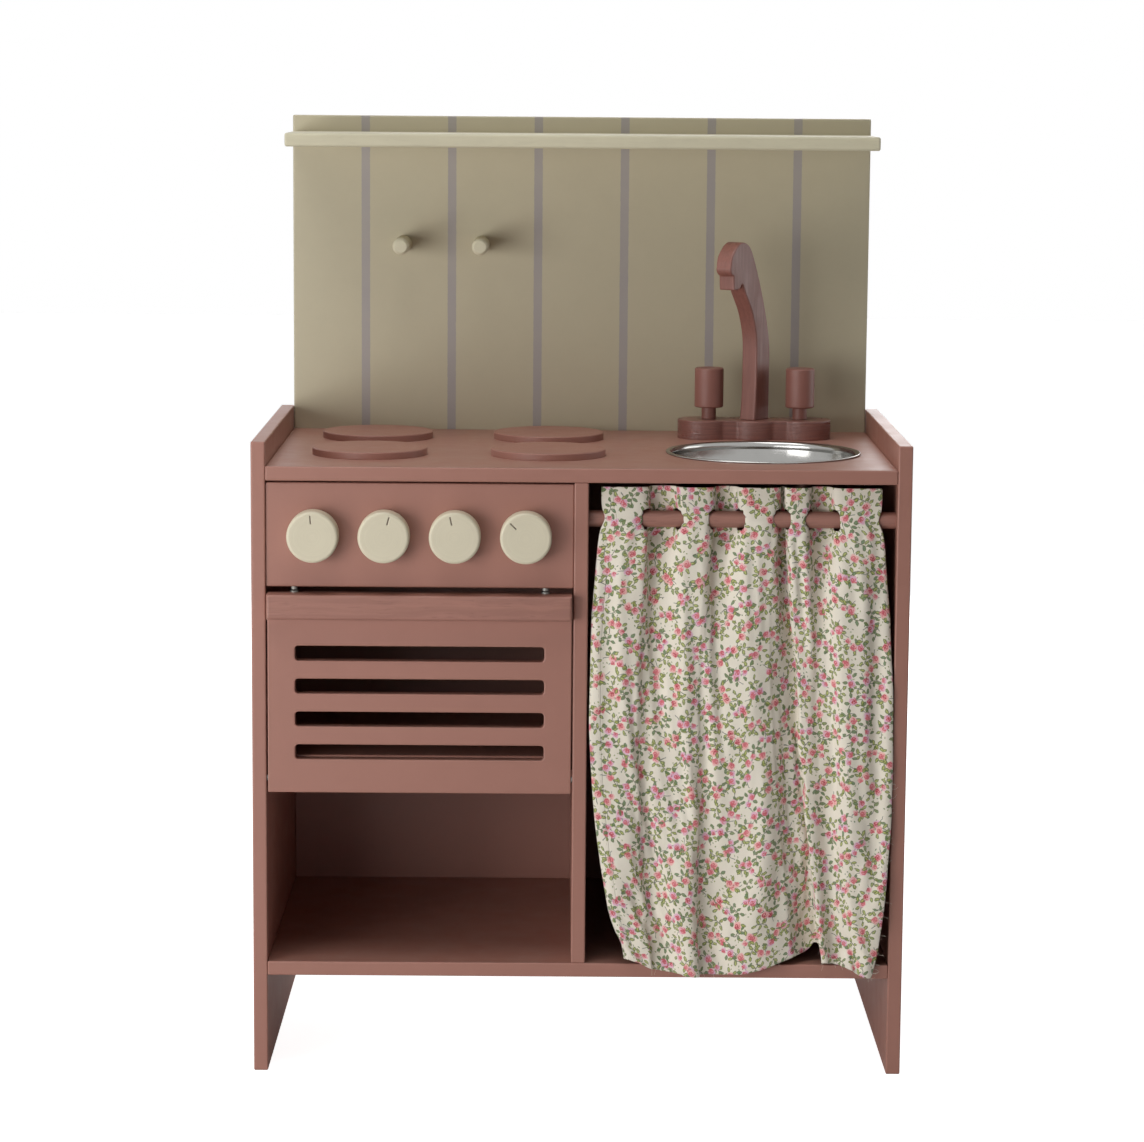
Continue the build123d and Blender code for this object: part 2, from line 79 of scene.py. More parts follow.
def setCamera():
    data = bpy.data.cameras.new("camera")
    data.lens = camera["lens"]
    data.sensor_width = camera["sensor"]
    data.clip_end = camera["farthest"]
    holder = bpy.data.objects.new("camera", data)
    bpy.context.scene.collection.objects.link(holder)
    turned = Matrix.Rotation(camera["turn"], 4, "Z")
    tilted = Matrix.Rotation(math.pi / 2 - camera["tilt"], 4, "X")
    rolled = Matrix.Rotation(camera["roll"], 4, "Z")
    holder.matrix_world = Matrix.Translation(camera["place"]) @ turned @ tilted @ rolled
    bpy.context.scene.camera = holder


# ---- light and floor

studio = {
    "backdrop": 1.0,  # brightness of the white surroundings, as seen and as mirrored
    "ambient": 0.01,  # what they add to the light on matt surfaces
    "aim": (0, 0, 0.42),
    "lamps": {
        # where each soft box stands, its size and its power in watts
        "keyLight": ((-1.2, -2.2, 0.3), 1.2, 15),
        "sideLight": ((-1.4, -1.25, 0.45), 1.0, 15.5),
        "topLight": ((-0.4, -0.5, 2.4), 1.4, 23),
        # the last two only reach the sides and the back
        "rightLight": ((2.1, 0.5, 0.8), 1.2, 9),
        "backLight": ((0.5, 2.4, 0.9), 1.6, 22),
    },
    "floorSize": 9.0,
    "floorGlow": 0.9,  # lights only what the camera sees of the floor, not the kitchen
}


def softBox(name, place, size, power):
    data = bpy.data.lights.new(name, "AREA")
    data.shape = "SQUARE"
    data.size = size
    data.energy = power
    lamp = bpy.data.objects.new(name, data)
    bpy.context.scene.collection.objects.link(lamp)
    lamp.location = place
    lamp.rotation_mode = "QUATERNION"
    lamp.rotation_quaternion = (Vector(studio["aim"]) - Vector(place)).to_track_quat("-Z", "Y")


def setStudio():
    scene = bpy.context.scene
    scene.view_settings.view_transform = "Standard"
    world = bpy.data.worlds.new("surroundings")
    world.use_nodes = True
    tree = world.node_tree
    matt = addNode(tree, "ShaderNodeLightPath").outputs["Is Diffuse Ray"]
    strength = remap(tree, matt, 0, 1, studio["backdrop"], studio["ambient"])
    tree.nodes["Background"].inputs["Color"].default_value = (1, 1, 1, 1)
    tree.links.new(strength, tree.nodes["Background"].inputs["Strength"])
    scene.world = world
    for name, (place, size, power) in studio["lamps"].items():
        softBox(name, place, size, power)


# ---- small helpers for node trees

def addNode(tree, kind, sockets=None, **settings):
    made = tree.nodes.new(kind)
    for key, value in settings.items():
        setattr(made, key, value)
    for name, value in (sockets or {}).items():
        if isinstance(value, bpy.types.NodeSocket):
            tree.links.new(value, made.inputs[name])
        else:
            made.inputs[name].default_value = value
    return made


def calc(tree, operation, *values, clamp=False):
    made = addNode(tree, "ShaderNodeMath", dict(enumerate(values)), operation=operation, use_clamp=clamp)
    return made.outputs[0]


def times(tree, first, second, clamp=False):
    return calc(tree, "MULTIPLY", first, second, clamp=clamp)


def plus(tree, first, second, clamp=False):
    return calc(tree, "ADD", first, second, clamp=clamp)


def minus(tree, first, second):
    return calc(tree, "SUBTRACT", first, second)


def vectorCalc(tree, operation, *values, out=0):
    made = addNode(tree, "ShaderNodeVectorMath", dict(enumerate(values)), operation=operation)
    return made.outputs[out]


def scaled(tree, vector, amount):
    return addNode(
        tree, "ShaderNodeVectorMath", {0: vector, "Scale": amount}, operation="SCALE"
    ).outputs[0]


def spun(tree, vector, angle):
    return addNode(
        tree, "ShaderNodeVectorRotate", {"Vector": vector, "Angle": angle}, rotation_type="Z_AXIS"
    ).outputs[0]


def parts(tree, vector):
    return addNode(tree, "ShaderNodeSeparateXYZ", {"Vector": vector}).outputs


def blendColours(tree, amount, under, over):
    return addNode(tree, "ShaderNodeMix", {0: amount, 6: under, 7: over}, data_type="RGBA").outputs[2]


def remap(tree, value, low, high, newLow=0.0, newHigh=1.0):
    return addNode(
        tree, "ShaderNodeMapRange",
        {"Value": value, "From Min": low, "From Max": high, "To Min": newLow, "To Max": newHigh},
    ).outputs["Result"]


def cloud(tree, vector, scale, detail=2.0, roughness=0.5):
    return addNode(
        tree, "ShaderNodeTexNoise",
        {"Vector": vector, "Scale": scale, "Detail": detail, "Roughness": roughness},
    ).outputs["Fac"]


def objectPlace(tree):
    return addNode(tree, "ShaderNodeTexCoord").outputs["Object"]


def faceNormal(tree):
    return addNode(tree, "ShaderNodeNewGeometry").outputs["Normal"]


origin = (0, 0, 0)
socketKinds = {"VALUE": "NodeSocketFloat", "VECTOR": "NodeSocketVector", "RGBA": "NodeSocketColor"}


def newGroup(name, takes):
    # a shader node group and the sockets it is given: numbers, vectors of three and colours of four
    group = bpy.data.node_groups.new(name, "ShaderNodeTree")
    for label, value in takes.items():
        kind = "VALUE" if isinstance(value, float) else "VECTOR" if len(value) == 3 else "RGBA"
        socket = group.interface.new_socket(name=label, in_out="INPUT", socket_type=socketKinds[kind])
        socket.default_value = value
    group.nodes.new("NodeGroupOutput")
    return group, group.nodes.new("NodeGroupInput").outputs


def give(group, label, socket):
    # hands a result out of the group
    group.interface.new_socket(name=label, in_out="OUTPUT", socket_type=socketKinds[socket.type])
    group.links.new(socket, group.nodes["Group Output"].inputs[label])


def useGroup(tree, name, sockets):
    return addNode(
        tree, "ShaderNodeGroup", sockets, node_tree=bpy.data.node_groups[name]
    ).outputs


def linear(red, green, blue):
    # a colour as a paint chart gives it, 0 to 255, as the shader wants it
    def channel(value):
        share = value / 255
        return share / 12.92 if share <= 0.04045 else ((share + 0.055) / 1.055) ** 2.4
    return channel(red), channel(green), channel(blue), 1.0


# ---- shared effects

def buildEdgeWearAndHighlight():
    # corners of a board: how close they are, broken up by noise, and their normal rounded over; the corner
    # mask serves rubbed paint and a painted highlight
    group, given = newGroup(
        "edgeWearAndHighlight", {"Vector": origin, "Radius": 0.001, "Patch Scale": 90.0, "Amount": 1.0}
    )
    rounded = addNode(group, "ShaderNodeBevel", {"Radius": given["Radius"]}, samples=6).outputs[0]
    likeness = vectorCalc(group, "DOT_PRODUCT", rounded, faceNormal(group), out=1)
    patches = cloud(group, given["Vector"], given["Patch Scale"], 3.0, 0.6)
    broken = remap(group, patches, 0.35, 0.62, 0.25, 1.0)
    edge = times(group, remap(group, likeness, 0.995, 0.8), broken, clamp=True)
    give(group, "Edge", times(group, edge, given["Amount"], clamp=True))
    give(group, "Normal", rounded)


def buildRollerPaint():
    # satin paint laid on with a small roller: uneven colour, fine orange peel, specks of dust in it,
    # corners lighter as partly rubbed paint and partly a painted highlight
    group, given = newGroup(
        "rollerPaint",
        {
            "Vector": origin,
            "Colour": (0.3, 0.16, 0.13, 1),
            "Unevenness": 0.06,
            "Peel Scale": 650.0,
            "Roughness": 0.42,
            "Edge": 0.0,
            "Edge Wear And Highlight Colour": (0.5, 0.35, 0.3, 1),
        },
    )
    vector = given["Vector"]
    broad = cloud(group, vector, 5.0, 2.0)
    streaks = cloud(group, vector, 46.0, 4.0, 0.62)
    peel = cloud(group, vector, given["Peel Scale"], 2.0, 0.55)
    mixed = plus(group, times(group, broad, 0.62), times(group, streaks, 0.38))
    swing = times(group, minus(group, mixed, 0.5), 4.0)
    shade = scaled(group, given["Colour"], calc(group, "MULTIPLY_ADD", swing, given["Unevenness"], 1.0))
    specks = addNode(group, "ShaderNodeTexVoronoi", {"Vector": vector, "Scale": 150.0})
    chance = addNode(group, "ShaderNodeSeparateColor", {"Color": specks.outputs["Color"]}).outputs[0]
    near = remap(group, specks.outputs["Distance"], 0.05, 0.02)
    speck = times(group, near, remap(group, chance, 0.82, 0.86))
    speckled = blendColours(group, times(group, speck, 0.28), shade, (0.02, 0.014, 0.01, 1))
    # corners lighter: partly rubbed paint, partly a painted highlight
    wornAndHighlighted = blendColours(group, times(group, given["Edge"], 0.5), speckled, given["Edge Wear And Highlight Colour"])
    give(group, "Colour", wornAndHighlighted)
    sheen = calc(group, "MULTIPLY_ADD", minus(group, streaks, 0.5), 0.22, given["Roughness"])
    give(group, "Roughness", calc(group, "MULTIPLY_ADD", given["Edge"], 0.08, sheen, clamp=True))
    give(group, "Height", calc(group, "MULTIPLY_ADD", speck, 0.8, peel))


def buildWoodGrain():
    # the raised lines that solid wood keeps under paint, or its colour when it is bare
    group, given = newGroup("woodGrain", {"Vector": origin, "Stretch": (12, 260, 260), "Bend": 0.35})
    drift = times(group, minus(group, cloud(group, given["Vector"], 16.0, 2.0), 0.5), given["Bend"])
    lines = vectorCalc(group, "MULTIPLY", given["Vector"], given["Stretch"])
    sideways = addNode(group, "ShaderNodeCombineXYZ", {"X": 0.0, "Y": drift, "Z": drift}).outputs[0]
    shifted = vectorCalc(group, "ADD", lines, scaled(group, sideways, 9.0))
    grain = cloud(group, shifted, 1.0, 3.0, 0.55)
    pores = remap(group, cloud(group, shifted, 3.4, 2.0, 0.5), 0.42, 0.3)
    give(group, "Grain", grain)
    give(group, "Pores", pores)
    give(group, "Height", calc(group, "MULTIPLY_ADD", pores, -0.6, grain))


def buildLatheRings():
    # fine rings that a lathe or a polishing wheel leaves round an axis
    group, given = newGroup(
        "latheRings",
        {"Vector": origin, "Centre": origin, "Across": (1, 1, 0), "Along": (0, 0, 1), "Ring Scale": 900.0},
    )
    local = vectorCalc(group, "SUBTRACT", given["Vector"], given["Centre"])
    radius = vectorCalc(group, "LENGTH", vectorCalc(group, "MULTIPLY", local, given["Across"]), out=1)
    height = vectorCalc(group, "DOT_PRODUCT", local, given["Along"], out=1)
    path = plus(group, radius, times(group, height, 1.7))
    rings = addNode(
        group, "ShaderNodeTexNoise",
        {"W": times(group, path, given["Ring Scale"]), "Scale": 1.0, "Detail": 3.0},
        noise_dimensions="1D",
    ).outputs["Fac"]
    give(group, "Rings", rings)
    blotch = cloud(group, given["Vector"], 60.0, 3.0)
    give(group, "Brushed", times(group, rings, remap(group, blotch, 0.3, 0.7, 0.5, 1.0)))


def buildDust():
    # a trace of dust where a surface faces up
    group, given = newGroup("dust", {"Vector": origin, "Amount": 0.2})
    facing = remap(group, parts(group, faceNormal(group))["Z"], 0.6, 1.0)
    fluff = remap(group, cloud(group, given["Vector"], 34.0, 5.0, 0.7), 0.4, 0.75)
    give(group, "Dust", times(group, times(group, facing, fluff), given["Amount"]))


def buildWeave():
    # plain weave: warp and weft threads going over and under each other
    group, given = newGroup("plainWeave", {"Vector": origin, "Threads": 2100.0})
    counted = parts(group, scaled(group, given["Vector"], given["Threads"]))
    across = counted["X"]
    along = counted["Y"]
    warp = calc(group, "ABSOLUTE", calc(group, "SINE", times(group, across, math.pi)))
    weft = calc(group, "ABSOLUTE", calc(group, "SINE", times(group, along, math.pi)))
    cells = plus(group, calc(group, "FLOOR", across), calc(group, "FLOOR", along))
    over = calc(group, "ABSOLUTE", calc(group, "MODULO", cells, 2.0))
    height = addNode(group, "ShaderNodeMix", {"Factor": over, "A": warp, "B": weft}, data_type="FLOAT")
    long = vectorCalc(group, "MULTIPLY", given["Vector"], (900.0, 40.0, 1.0))
    wide = vectorCalc(group, "MULTIPLY", given["Vector"], (40.0, 900.0, 1.0))
    slub = calc(group, "MAXIMUM", cloud(group, long, 1.0, 2.0), cloud(group, wide, 1.0, 2.0))
    give(group, "Height", height.outputs["Result"])
    give(group, "Slub", remap(group, slub, 0.5, 0.85))


def buildScatter():
    # throws motifs over the cloth: where the nearest one is, turned at random, and its chances
    group, given = newGroup(
        "scatter", {"Vector": origin, "Spacing": 20.0, "Looseness": 0.4, "Twist": 0.0}
    )
    twisted = spun(group, given["Vector"], given["Twist"])
    cells = addNode(
        group, "ShaderNodeTexVoronoi",
        {
            "Vector": twisted,
            "Scale": calc(group, "DIVIDE", 1.0, given["Spacing"]),
            "Randomness": given["Looseness"],
        },
        voronoi_dimensions="2D",
    ).outputs
    offset = vectorCalc(group, "SUBTRACT", twisted, cells["Position"])
    dice = addNode(group, "ShaderNodeSeparateColor", {"Color": cells["Color"]}).outputs
    flat = vectorCalc(group, "MULTIPLY", offset, (1, 1, 0))
    give(group, "Local", spun(group, flat, times(group, dice[0], 2 * math.pi)))
    give(group, "Chance", dice[1])
    give(group, "Tint", dice[2])


def buildLeaf():
    # one leaf: where it is, which way it points and its half length and half width
    group, given = newGroup(
        "leaf", {"Local": origin, "Place": origin, "Angle": 0.0, "Size": (2.8, 1.5, 1)}
    )
    local = vectorCalc(group, "SUBTRACT", given["Local"], given["Place"])
    turned = spun(group, local, times(group, given["Angle"], -1.0))
    sized = parts(group, vectorCalc(group, "DIVIDE", turned, given["Size"]))
    across = calc(group, "ABSOLUTE", sized["Y"])
    along = calc(group, "ABSOLUTE", sized["X"])
    inside = minus(group, minus(group, 1.0, calc(group, "POWER", along, 2.6)), across)
    give(group, "Mask", times(group, inside, 4.0, clamp=True))
    give(group, "Middle", remap(group, inside, 0.35, 0.85))


def buildRose():
    # one small rose: soft uneven lobes, petals wound round a dark heart that sits off the middle
    group, given = newGroup("rose", {"Local": origin, "Place": origin, "Size": 3.8})
    local = vectorCalc(group, "SUBTRACT", given["Local"], given["Place"])
    angle = calc(group, "ARCTAN2", parts(group, local)["Y"], parts(group, local)["X"])
    distance = calc(group, "DIVIDE", vectorCalc(group, "LENGTH", local, out=1), given["Size"])
    lobes = times(group, calc(group, "COSINE", times(group, angle, 4.0)), 0.07)
    inside = minus(group, plus(group, lobes, 0.95), distance)
    give(group, "Mask", times(group, inside, 4.5, clamp=True))
    away = vectorCalc(group, "DISTANCE", local, (-0.7, -0.9, 0), out=1)
    heart = calc(group, "DIVIDE", away, given["Size"])
    winding = calc(group, "MULTIPLY_ADD", distance, 6.5, angle)
    swirl = times(group, calc(group, "SINE", times(group, winding, 2.0)), 0.2)
    blotch = times(group, minus(group, cloud(group, local, 0.55, 2.0), 0.5), 0.9)
    petals = plus(group, calc(group, "MULTIPLY_ADD", heart, 0.8, swirl), blotch)
    give(group, "Petals", plus(group, petals, 0.02, clamp=True))


def buildStem():
    # a thin stem drawn as part of a circle
    group, given = newGroup("stem", {"Local": origin, "Centre": origin, "Radius": 9.0, "Reach": 6.0})
    away = vectorCalc(group, "DISTANCE", given["Local"], given["Centre"], out=1)
    line = remap(group, calc(group, "ABSOLUTE", minus(group, away, given["Radius"])), 0.45, 0.2)
    share = calc(group, "DIVIDE", vectorCalc(group, "LENGTH", given["Local"], out=1), given["Reach"])
    give(group, "Mask", times(group, line, remap(group, share, 1.0, 0.9)))


for build in (
    buildEdgeWearAndHighlight, buildRollerPaint, buildWoodGrain, buildLatheRings, buildDust,
    buildWeave, buildScatter, buildLeaf, buildRose, buildStem,
):
    build()
print("shared effects built")


# ---- the print on the curtain

ditsyPrint = {
    "ground": linear(236, 228, 212),
    "leafDark": linear(98, 110, 44),
    "leafLight": linear(182, 190, 98),
    "leafBlue": linear(100, 136, 96),
    "stem": linear(66, 74, 52),
    "heart": linear(178, 38, 58),
    "petal": linear(218, 98, 112),
    "palePetal": linear(240, 186, 180),
    "mauvePetal": linear(230, 184, 208),
    # Each motif is scattered over the cloth and turned at random; "some" is the share left out.
    # Its drawing is in millimetres: stems as centre across and up, radius and reach; leaves as
    # across, up, angle in degrees, half length and half width; roses as across, up and radius.
    "motifs": (
        {
            "spacing": 11.0, "looseness": 0.5, "twist": 1.1, "some": 0.35, "stems": (), "roses": (),
            "leaves": ((-2.0, 0.4, 60, 0.95, 0.5), (0.9, 1.9, 150, 0.9, 0.5), (2.0, -1.1, 20, 1.1, 0.5)),
        },
        {
            "spacing": 17.6, "looseness": 0.34, "twist": 0.35, "some": 0.0, "roses": (),
            "stems": ((0.0, -11.0, 11.2, 7.2),),
            "leaves": (
                (-5.4, -2.9, 205, 2.6, 1.45), (-2.9, 2.5, 120, 2.7, 1.6), (0.3, -2.6, -80, 2.7, 1.5),
                (2.9, 2.0, 55, 2.9, 1.6), (6.0, -2.0, -20, 2.5, 1.4),
            ),
        },
        {
            "spacing": 21.0, "looseness": 0.28, "twist": 0.9, "some": 0.0,
            "stems": ((5.0, -9.0, 11.0, 9.0),),
            "leaves": ((-4.6, 4.6, 150, 2.8, 1.6), (3.4, 4.8, 60, 2.7, 1.5), (-5.6, -1.6, 195, 2.4, 1.4)),
            "roses": ((-0.6, 0.6, 4.1),),
        },
        {
            "spacing": 21.6, "looseness": 0.26, "twist": 2.3, "some": 0.0,
            "stems": ((-6.0, -9.0, 11.6, 9.4),),
            "leaves": (
                (-6.4, 1.2, 170, 2.8, 1.6), (-2.4, -4.8, 240, 2.8, 1.6), (1.0, 5.6, 95, 2.6, 1.5),
                (7.0, 1.2, 20, 2.7, 1.5),
            ),
            "roses": ((-1.6, 1.0, 3.9), (3.8, -2.9, 3.0)),
        },
    ),
}


def mostOf(tree, masks):
    total = masks[0]
    for mask in masks[1:]:
        total = calc(tree, "MAXIMUM", total, mask)
    return total


def drawStems(tree, colour, thrown, motif):
    masks = [
        useGroup(
            tree, "stem",
            {"Local": thrown["Local"], "Centre": (across, up, 0), "Radius": radius, "Reach": reach},
        )["Mask"]
        for across, up, radius, reach in motif["stems"]
    ]
    if not masks:
        return colour, []
    stems = mostOf(tree, masks)
    return blendColours(tree, times(tree, stems, 0.8), colour, ditsyPrint["stem"]), [stems]


def drawLeaves(tree, colour, thrown, motif, noise):
    drawn = [
        useGroup(
            tree, "leaf",
            {
                "Local": thrown["Local"], "Place": (across, up, 0), "Angle": math.radians(angle),
                "Size": (length, width, 1),
            },
        )
        for across, up, angle, length, width in motif["leaves"]
    ]
    some = remap(tree, thrown["Chance"], motif["some"] - 0.01, motif["some"])
    leaves = times(tree, mostOf(tree, [leaf["Mask"] for leaf in drawn]), some)
    tint = remap(tree, thrown["Tint"], 0.55, 0.75)
    light = blendColours(tree, tint, ditsyPrint["leafLight"], ditsyPrint["leafBlue"])
    middles = mostOf(tree, [leaf["Middle"] for leaf in drawn])
    lit = times(tree, middles, remap(tree, noise, 0.25, 0.5))
    green = blendColours(tree, lit, ditsyPrint["leafDark"], light)
    return blendColours(tree, times(tree, leaves, 0.92), colour, green), [leaves]


def drawRoses(tree, colour, thrown, motif):
    masks = []
    tint = remap(tree, thrown["Tint"], 0.3, 0.8)
    outer = blendColours(tree, tint, ditsyPrint["palePetal"], ditsyPrint["mauvePetal"])
    bold = remap(tree, thrown["Chance"], 0.3, 0.8)
    for across, up, radius in motif["roses"]:
        rose = useGroup(
            tree, "rose", {"Local": thrown["Local"], "Place": (across, up, 0), "Size": radius}
        )
        heart = blendColours(tree, bold, ditsyPrint["petal"], ditsyPrint["heart"])
        inner = blendColours(tree, remap(tree, rose["Petals"], 0.1, 0.34), heart, ditsyPrint["petal"])
        bloom = blendColours(tree, remap(tree, rose["Petals"], 0.34, 0.66), inner, outer)
        colour = blendColours(tree, times(tree, rose["Mask"], 0.95), colour, bloom)
        masks.append(rose["Mask"])
    return colour, masks


def buildDitsyPrint():
    # single roses and pairs of roses over leafy twigs over tiny flecks, on an off-white ground
    group, given = newGroup("ditsyPrint", {"Vector": origin})
    drawing = vectorCalc(group, "MULTIPLY", given["Vector"], (1000, 1000, 0))  # millimetres
    wobble = addNode(group, "ShaderNodeTexNoise", {"Vector": drawing, "Scale": 0.42, "Detail": 1.0})
    push = vectorCalc(group, "SUBTRACT", wobble.outputs["Color"], (0.5, 0.5, 0.5))
    drawing = vectorCalc(group, "MULTIPLY_ADD", push, (1.8, 1.8, 0), drawing)
    noise = cloud(group, drawing, 0.7, 1.0)
    colour = ditsyPrint["ground"]
    masks = []
    for motif in ditsyPrint["motifs"]:
        thrown = useGroup(
            group, "scatter",
            {
                "Vector": drawing, "Spacing": motif["spacing"], "Looseness": motif["looseness"],
                "Twist": motif["twist"],
            },
        )
        colour, stems = drawStems(group, colour, thrown, motif)
        colour, leaves = drawLeaves(group, colour, thrown, motif, noise)
        colour, roses = drawRoses(group, colour, thrown, motif)
        masks += stems + leaves + roses
    give(group, "Colour", colour)
    give(group, "Ink", mostOf(group, masks))


buildDitsyPrint()


# ---- materials

def newMaterial(name, **constants):
    # an empty material, its shader, and the place on the piece that its patterns follow
    material = bpy.data.materials.new(name)
    material.use_nodes = True
    tree = material.node_tree
    shader = tree.nodes["Principled BSDF"]
    for label, value in constants.items():
        shader.inputs[label.replace("_", " ")].default_value = value
    return material, tree, shader, objectPlace(tree)


def finishSurface(tree, shader, colour, roughness, height, bump, normal=None):
    tree.links.new(colour, shader.inputs["Base Color"])
    tree.links.new(roughness, shader.inputs["Roughness"])
    bumped = addNode(tree, "ShaderNodeBump", {"Height": height, "Distance": bump, "Strength": 1.0})
    if normal is not None:
        tree.links.new(normal, bumped.inputs["Normal"])
    tree.links.new(bumped.outputs[0], shader.inputs["Normal"])


# each paint, and the paler tone on its corners: partly rubbed paint, partly a painted highlight
paints = {
    "terracotta": (linear(158, 110, 96), linear(184, 140, 126)),
    "terracottaWood": (linear(138, 90, 79), linear(184, 140, 126)),
    "sage": (linear(188, 179, 152), linear(196, 190, 166)),
    "paleSage": (linear(204, 197, 170), linear(196, 190, 166)),
    "cream": (linear(212, 203, 178), linear(228, 222, 202)),
}

boardLooks = {"roughness": 0.42, "corner": 0.0011, "dust": 0.12, "dustColour": linear(205, 196, 184)}

stripes = {
    "colour": linear(160, 153, 150),
    "pitch": 0.0786,
    "width": 0.0077,
    "soft": 0.0002,  # half width of each painted edge
    "wander": 0.0009,
    "reach": 2.9,  # in pitches to either side of the middle
}

# painted solid wood: paint, grain stretched along the board, roughness, height and darkness of the grain
woods = {
    "paleSageWood": ("paleSage", (9, 200, 200), 0.45, 0.00002, 0.05),
    "handleWood": ("terracotta", (10, 240, 240), 0.42, 0.00006, 0.2),
    "faucetWood": ("terracottaWood", (16, 60, 620), 0.27, 0.0002, 0.3),
    "spoutWood": ("terracottaWood", (330, 330, 14), 0.36, 0.00007, 0.2),
}

# the engraved line on each knob is darkened grey-brown: painted shade in the groove
knobGrooveShade = {"radius": 0.0185, "colour": linear(118, 98, 84), "from": 0.0001, "to": 0.0005}

steels = {
    # plating: colour and roughness
    "zincPlate": (linear(190, 190, 186), 0.32),
    "nickelPlate": (linear(128, 126, 120), 0.4),
}


def layPaint(tree, place, paint, edge, roughness, unevenness=0.05, peel=650.0):
    colour, edgeWearAndHighlightColour = paints[paint]
    return useGroup(
        tree, "rollerPaint",
        {
            "Vector": place, "Colour": colour, "Unevenness": unevenness, "Roughness": roughness,
            "Peel Scale": peel, "Edge": edge["Edge"], "Edge Wear And Highlight Colour": edgeWearAndHighlightColour,
        },
    )


def boardPaint(name, paint):
    # painted fibreboard: roller paint, corners a little lighter (partly rubbed paint, partly a painted
    # highlight), a trace of dust on top faces
    material, tree, shader, place = newMaterial(name)
    edge = useGroup(tree, "edgeWearAndHighlight", {"Vector": place, "Radius": boardLooks["corner"]})
    laid = layPaint(tree, place, paint, edge, boardLooks["roughness"])
    dust = useGroup(tree, "dust", {"Vector": place, "Amount": boardLooks["dust"]})["Dust"]
    dusty = blendColours(tree, dust, laid["Colour"], boardLooks["dustColour"])
    rough = calc(tree, "MULTIPLY_ADD", dust, 0.6, laid["Roughness"], clamp=True)
    finishSurface(tree, shader, dusty, rough, laid["Height"], 0.00005, edge["Normal"])
    return material


def stripedSage():
    # the splashback: sage, with narrow mauve stripes painted on its front face only
    material = boardPaint("sageStripes", "sage")
    tree = material.node_tree
    shader = tree.nodes["Principled BSDF"]
    place = objectPlace(tree)
    across = parts(tree, place)["X"]
    shake = minus(tree, cloud(tree, place, 240.0, 3.0, 0.6), 0.5)
    wander = calc(tree, "MULTIPLY_ADD", shake, stripes["wander"], across)
    # distance to the nearest odd half pitch from the middle
    half = stripes["pitch"] / 2
    offset = minus(tree, half, calc(tree, "PINGPONG", wander, half))
    inside = remap(
        tree, offset, stripes["width"] / 2 + stripes["soft"], stripes["width"] / 2 - stripes["soft"]
    )
    limit = calc(tree, "LESS_THAN", calc(tree, "ABSOLUTE", across), stripes["pitch"] * stripes["reach"])
    front = calc(tree, "LESS_THAN", parts(tree, faceNormal(tree))["Y"], -0.5)
    mask = times(tree, times(tree, inside, limit), front)
    thin = remap(tree, cloud(tree, place, 26.0, 4.0, 0.6), 0.3, 0.7, 0.86, 1.0)
    under = shader.inputs["Base Color"].links[0].from_socket
    painted = blendColours(tree, times(tree, mask, thin), under, stripes["colour"])
    tree.links.new(painted, shader.inputs["Base Color"])
    return material


def solidWoodPaint(name):
    # paint over solid wood: the grain still shows as fine ridges and slightly darker lines
    paint, stretch, roughness, lift, contrast = woods[name]
    material, tree, shader, place = newMaterial(name)
    edge = useGroup(tree, "edgeWearAndHighlight", {"Vector": place, "Radius": 0.0012, "Patch Scale": 160.0})
    grain = useGroup(tree, "woodGrain", {"Vector": place, "Stretch": stretch})
    laid = layPaint(tree, place, paint, edge, roughness)
    lines = remap(tree, grain["Grain"], 0.35, 0.62)
    shaded = blendColours(tree, times(tree, lines, contrast), laid["Colour"], (0.07, 0.03, 0.025, 1))
    pitted = blendColours(tree, times(tree, grain["Pores"], contrast), shaded, (0.05, 0.02, 0.02, 1))
    rough = calc(tree, "MULTIPLY_ADD", lines, 0.12, laid["Roughness"], clamp=True)
    height = calc(tree, "MULTIPLY_ADD", laid["Height"], 0.25, grain["Height"])
    finishSurface(tree, shader, pitted, rough, height, lift, edge["Normal"])
    return material


def turnedPaint(name, paint, upright, markShade=None):
    # turned and painted wood, with the lathe's rings just showing; knobs have their engraved mark darkened
    # with painted shade
    low, _, middle = spanOf(name)
    centre = tuple(middle)
    across, along = ((1, 1, 0), (0, 0, 1)) if upright else ((1, 0, 1), (0, 1, 0))
    material, tree, shader, place = newMaterial(name + "Paint")
    edge = useGroup(
        tree, "edgeWearAndHighlight", {"Vector": place, "Radius": 0.001, "Patch Scale": 200.0, "Amount": 0.8}
    )
    rings = useGroup(
        tree, "latheRings",
        {"Vector": place, "Centre": centre, "Across": across, "Along": along, "Ring Scale": 1100.0},
    )["Rings"]
    laid = layPaint(tree, place, paint, edge, 0.45, 0.035, 900.0)
    lathe = remap(tree, rings, 0.3, 0.7)
    shade = blendColours(tree, times(tree, lathe, 0.07), laid["Colour"], (0.1, 0.06, 0.05, 1))
    if markShade is not None:
        # inside the engraved line the colour is darkened grey-brown: painted shade in the groove
        deep = remap(tree, parts(tree, place)["Y"], low.y + markShade["from"], low.y + markShade["to"])
        local = vectorCalc(tree, "SUBTRACT", place, centre)
        radius = vectorCalc(tree, "LENGTH", vectorCalc(tree, "MULTIPLY", local, across), out=1)
        grooveShade = times(tree, deep, calc(tree, "LESS_THAN", radius, markShade["radius"]))
        shade = blendColours(tree, times(tree, grooveShade, 0.75), shade, markShade["colour"])
    height = calc(tree, "MULTIPLY_ADD", rings, 0.8, times(tree, laid["Height"], 0.5))
    rough = calc(tree, "MULTIPLY_ADD", lathe, 0.06, laid["Roughness"], clamp=True)
    finishSurface(tree, shader, shade, rough, height, 0.00005, edge["Normal"])
    return material


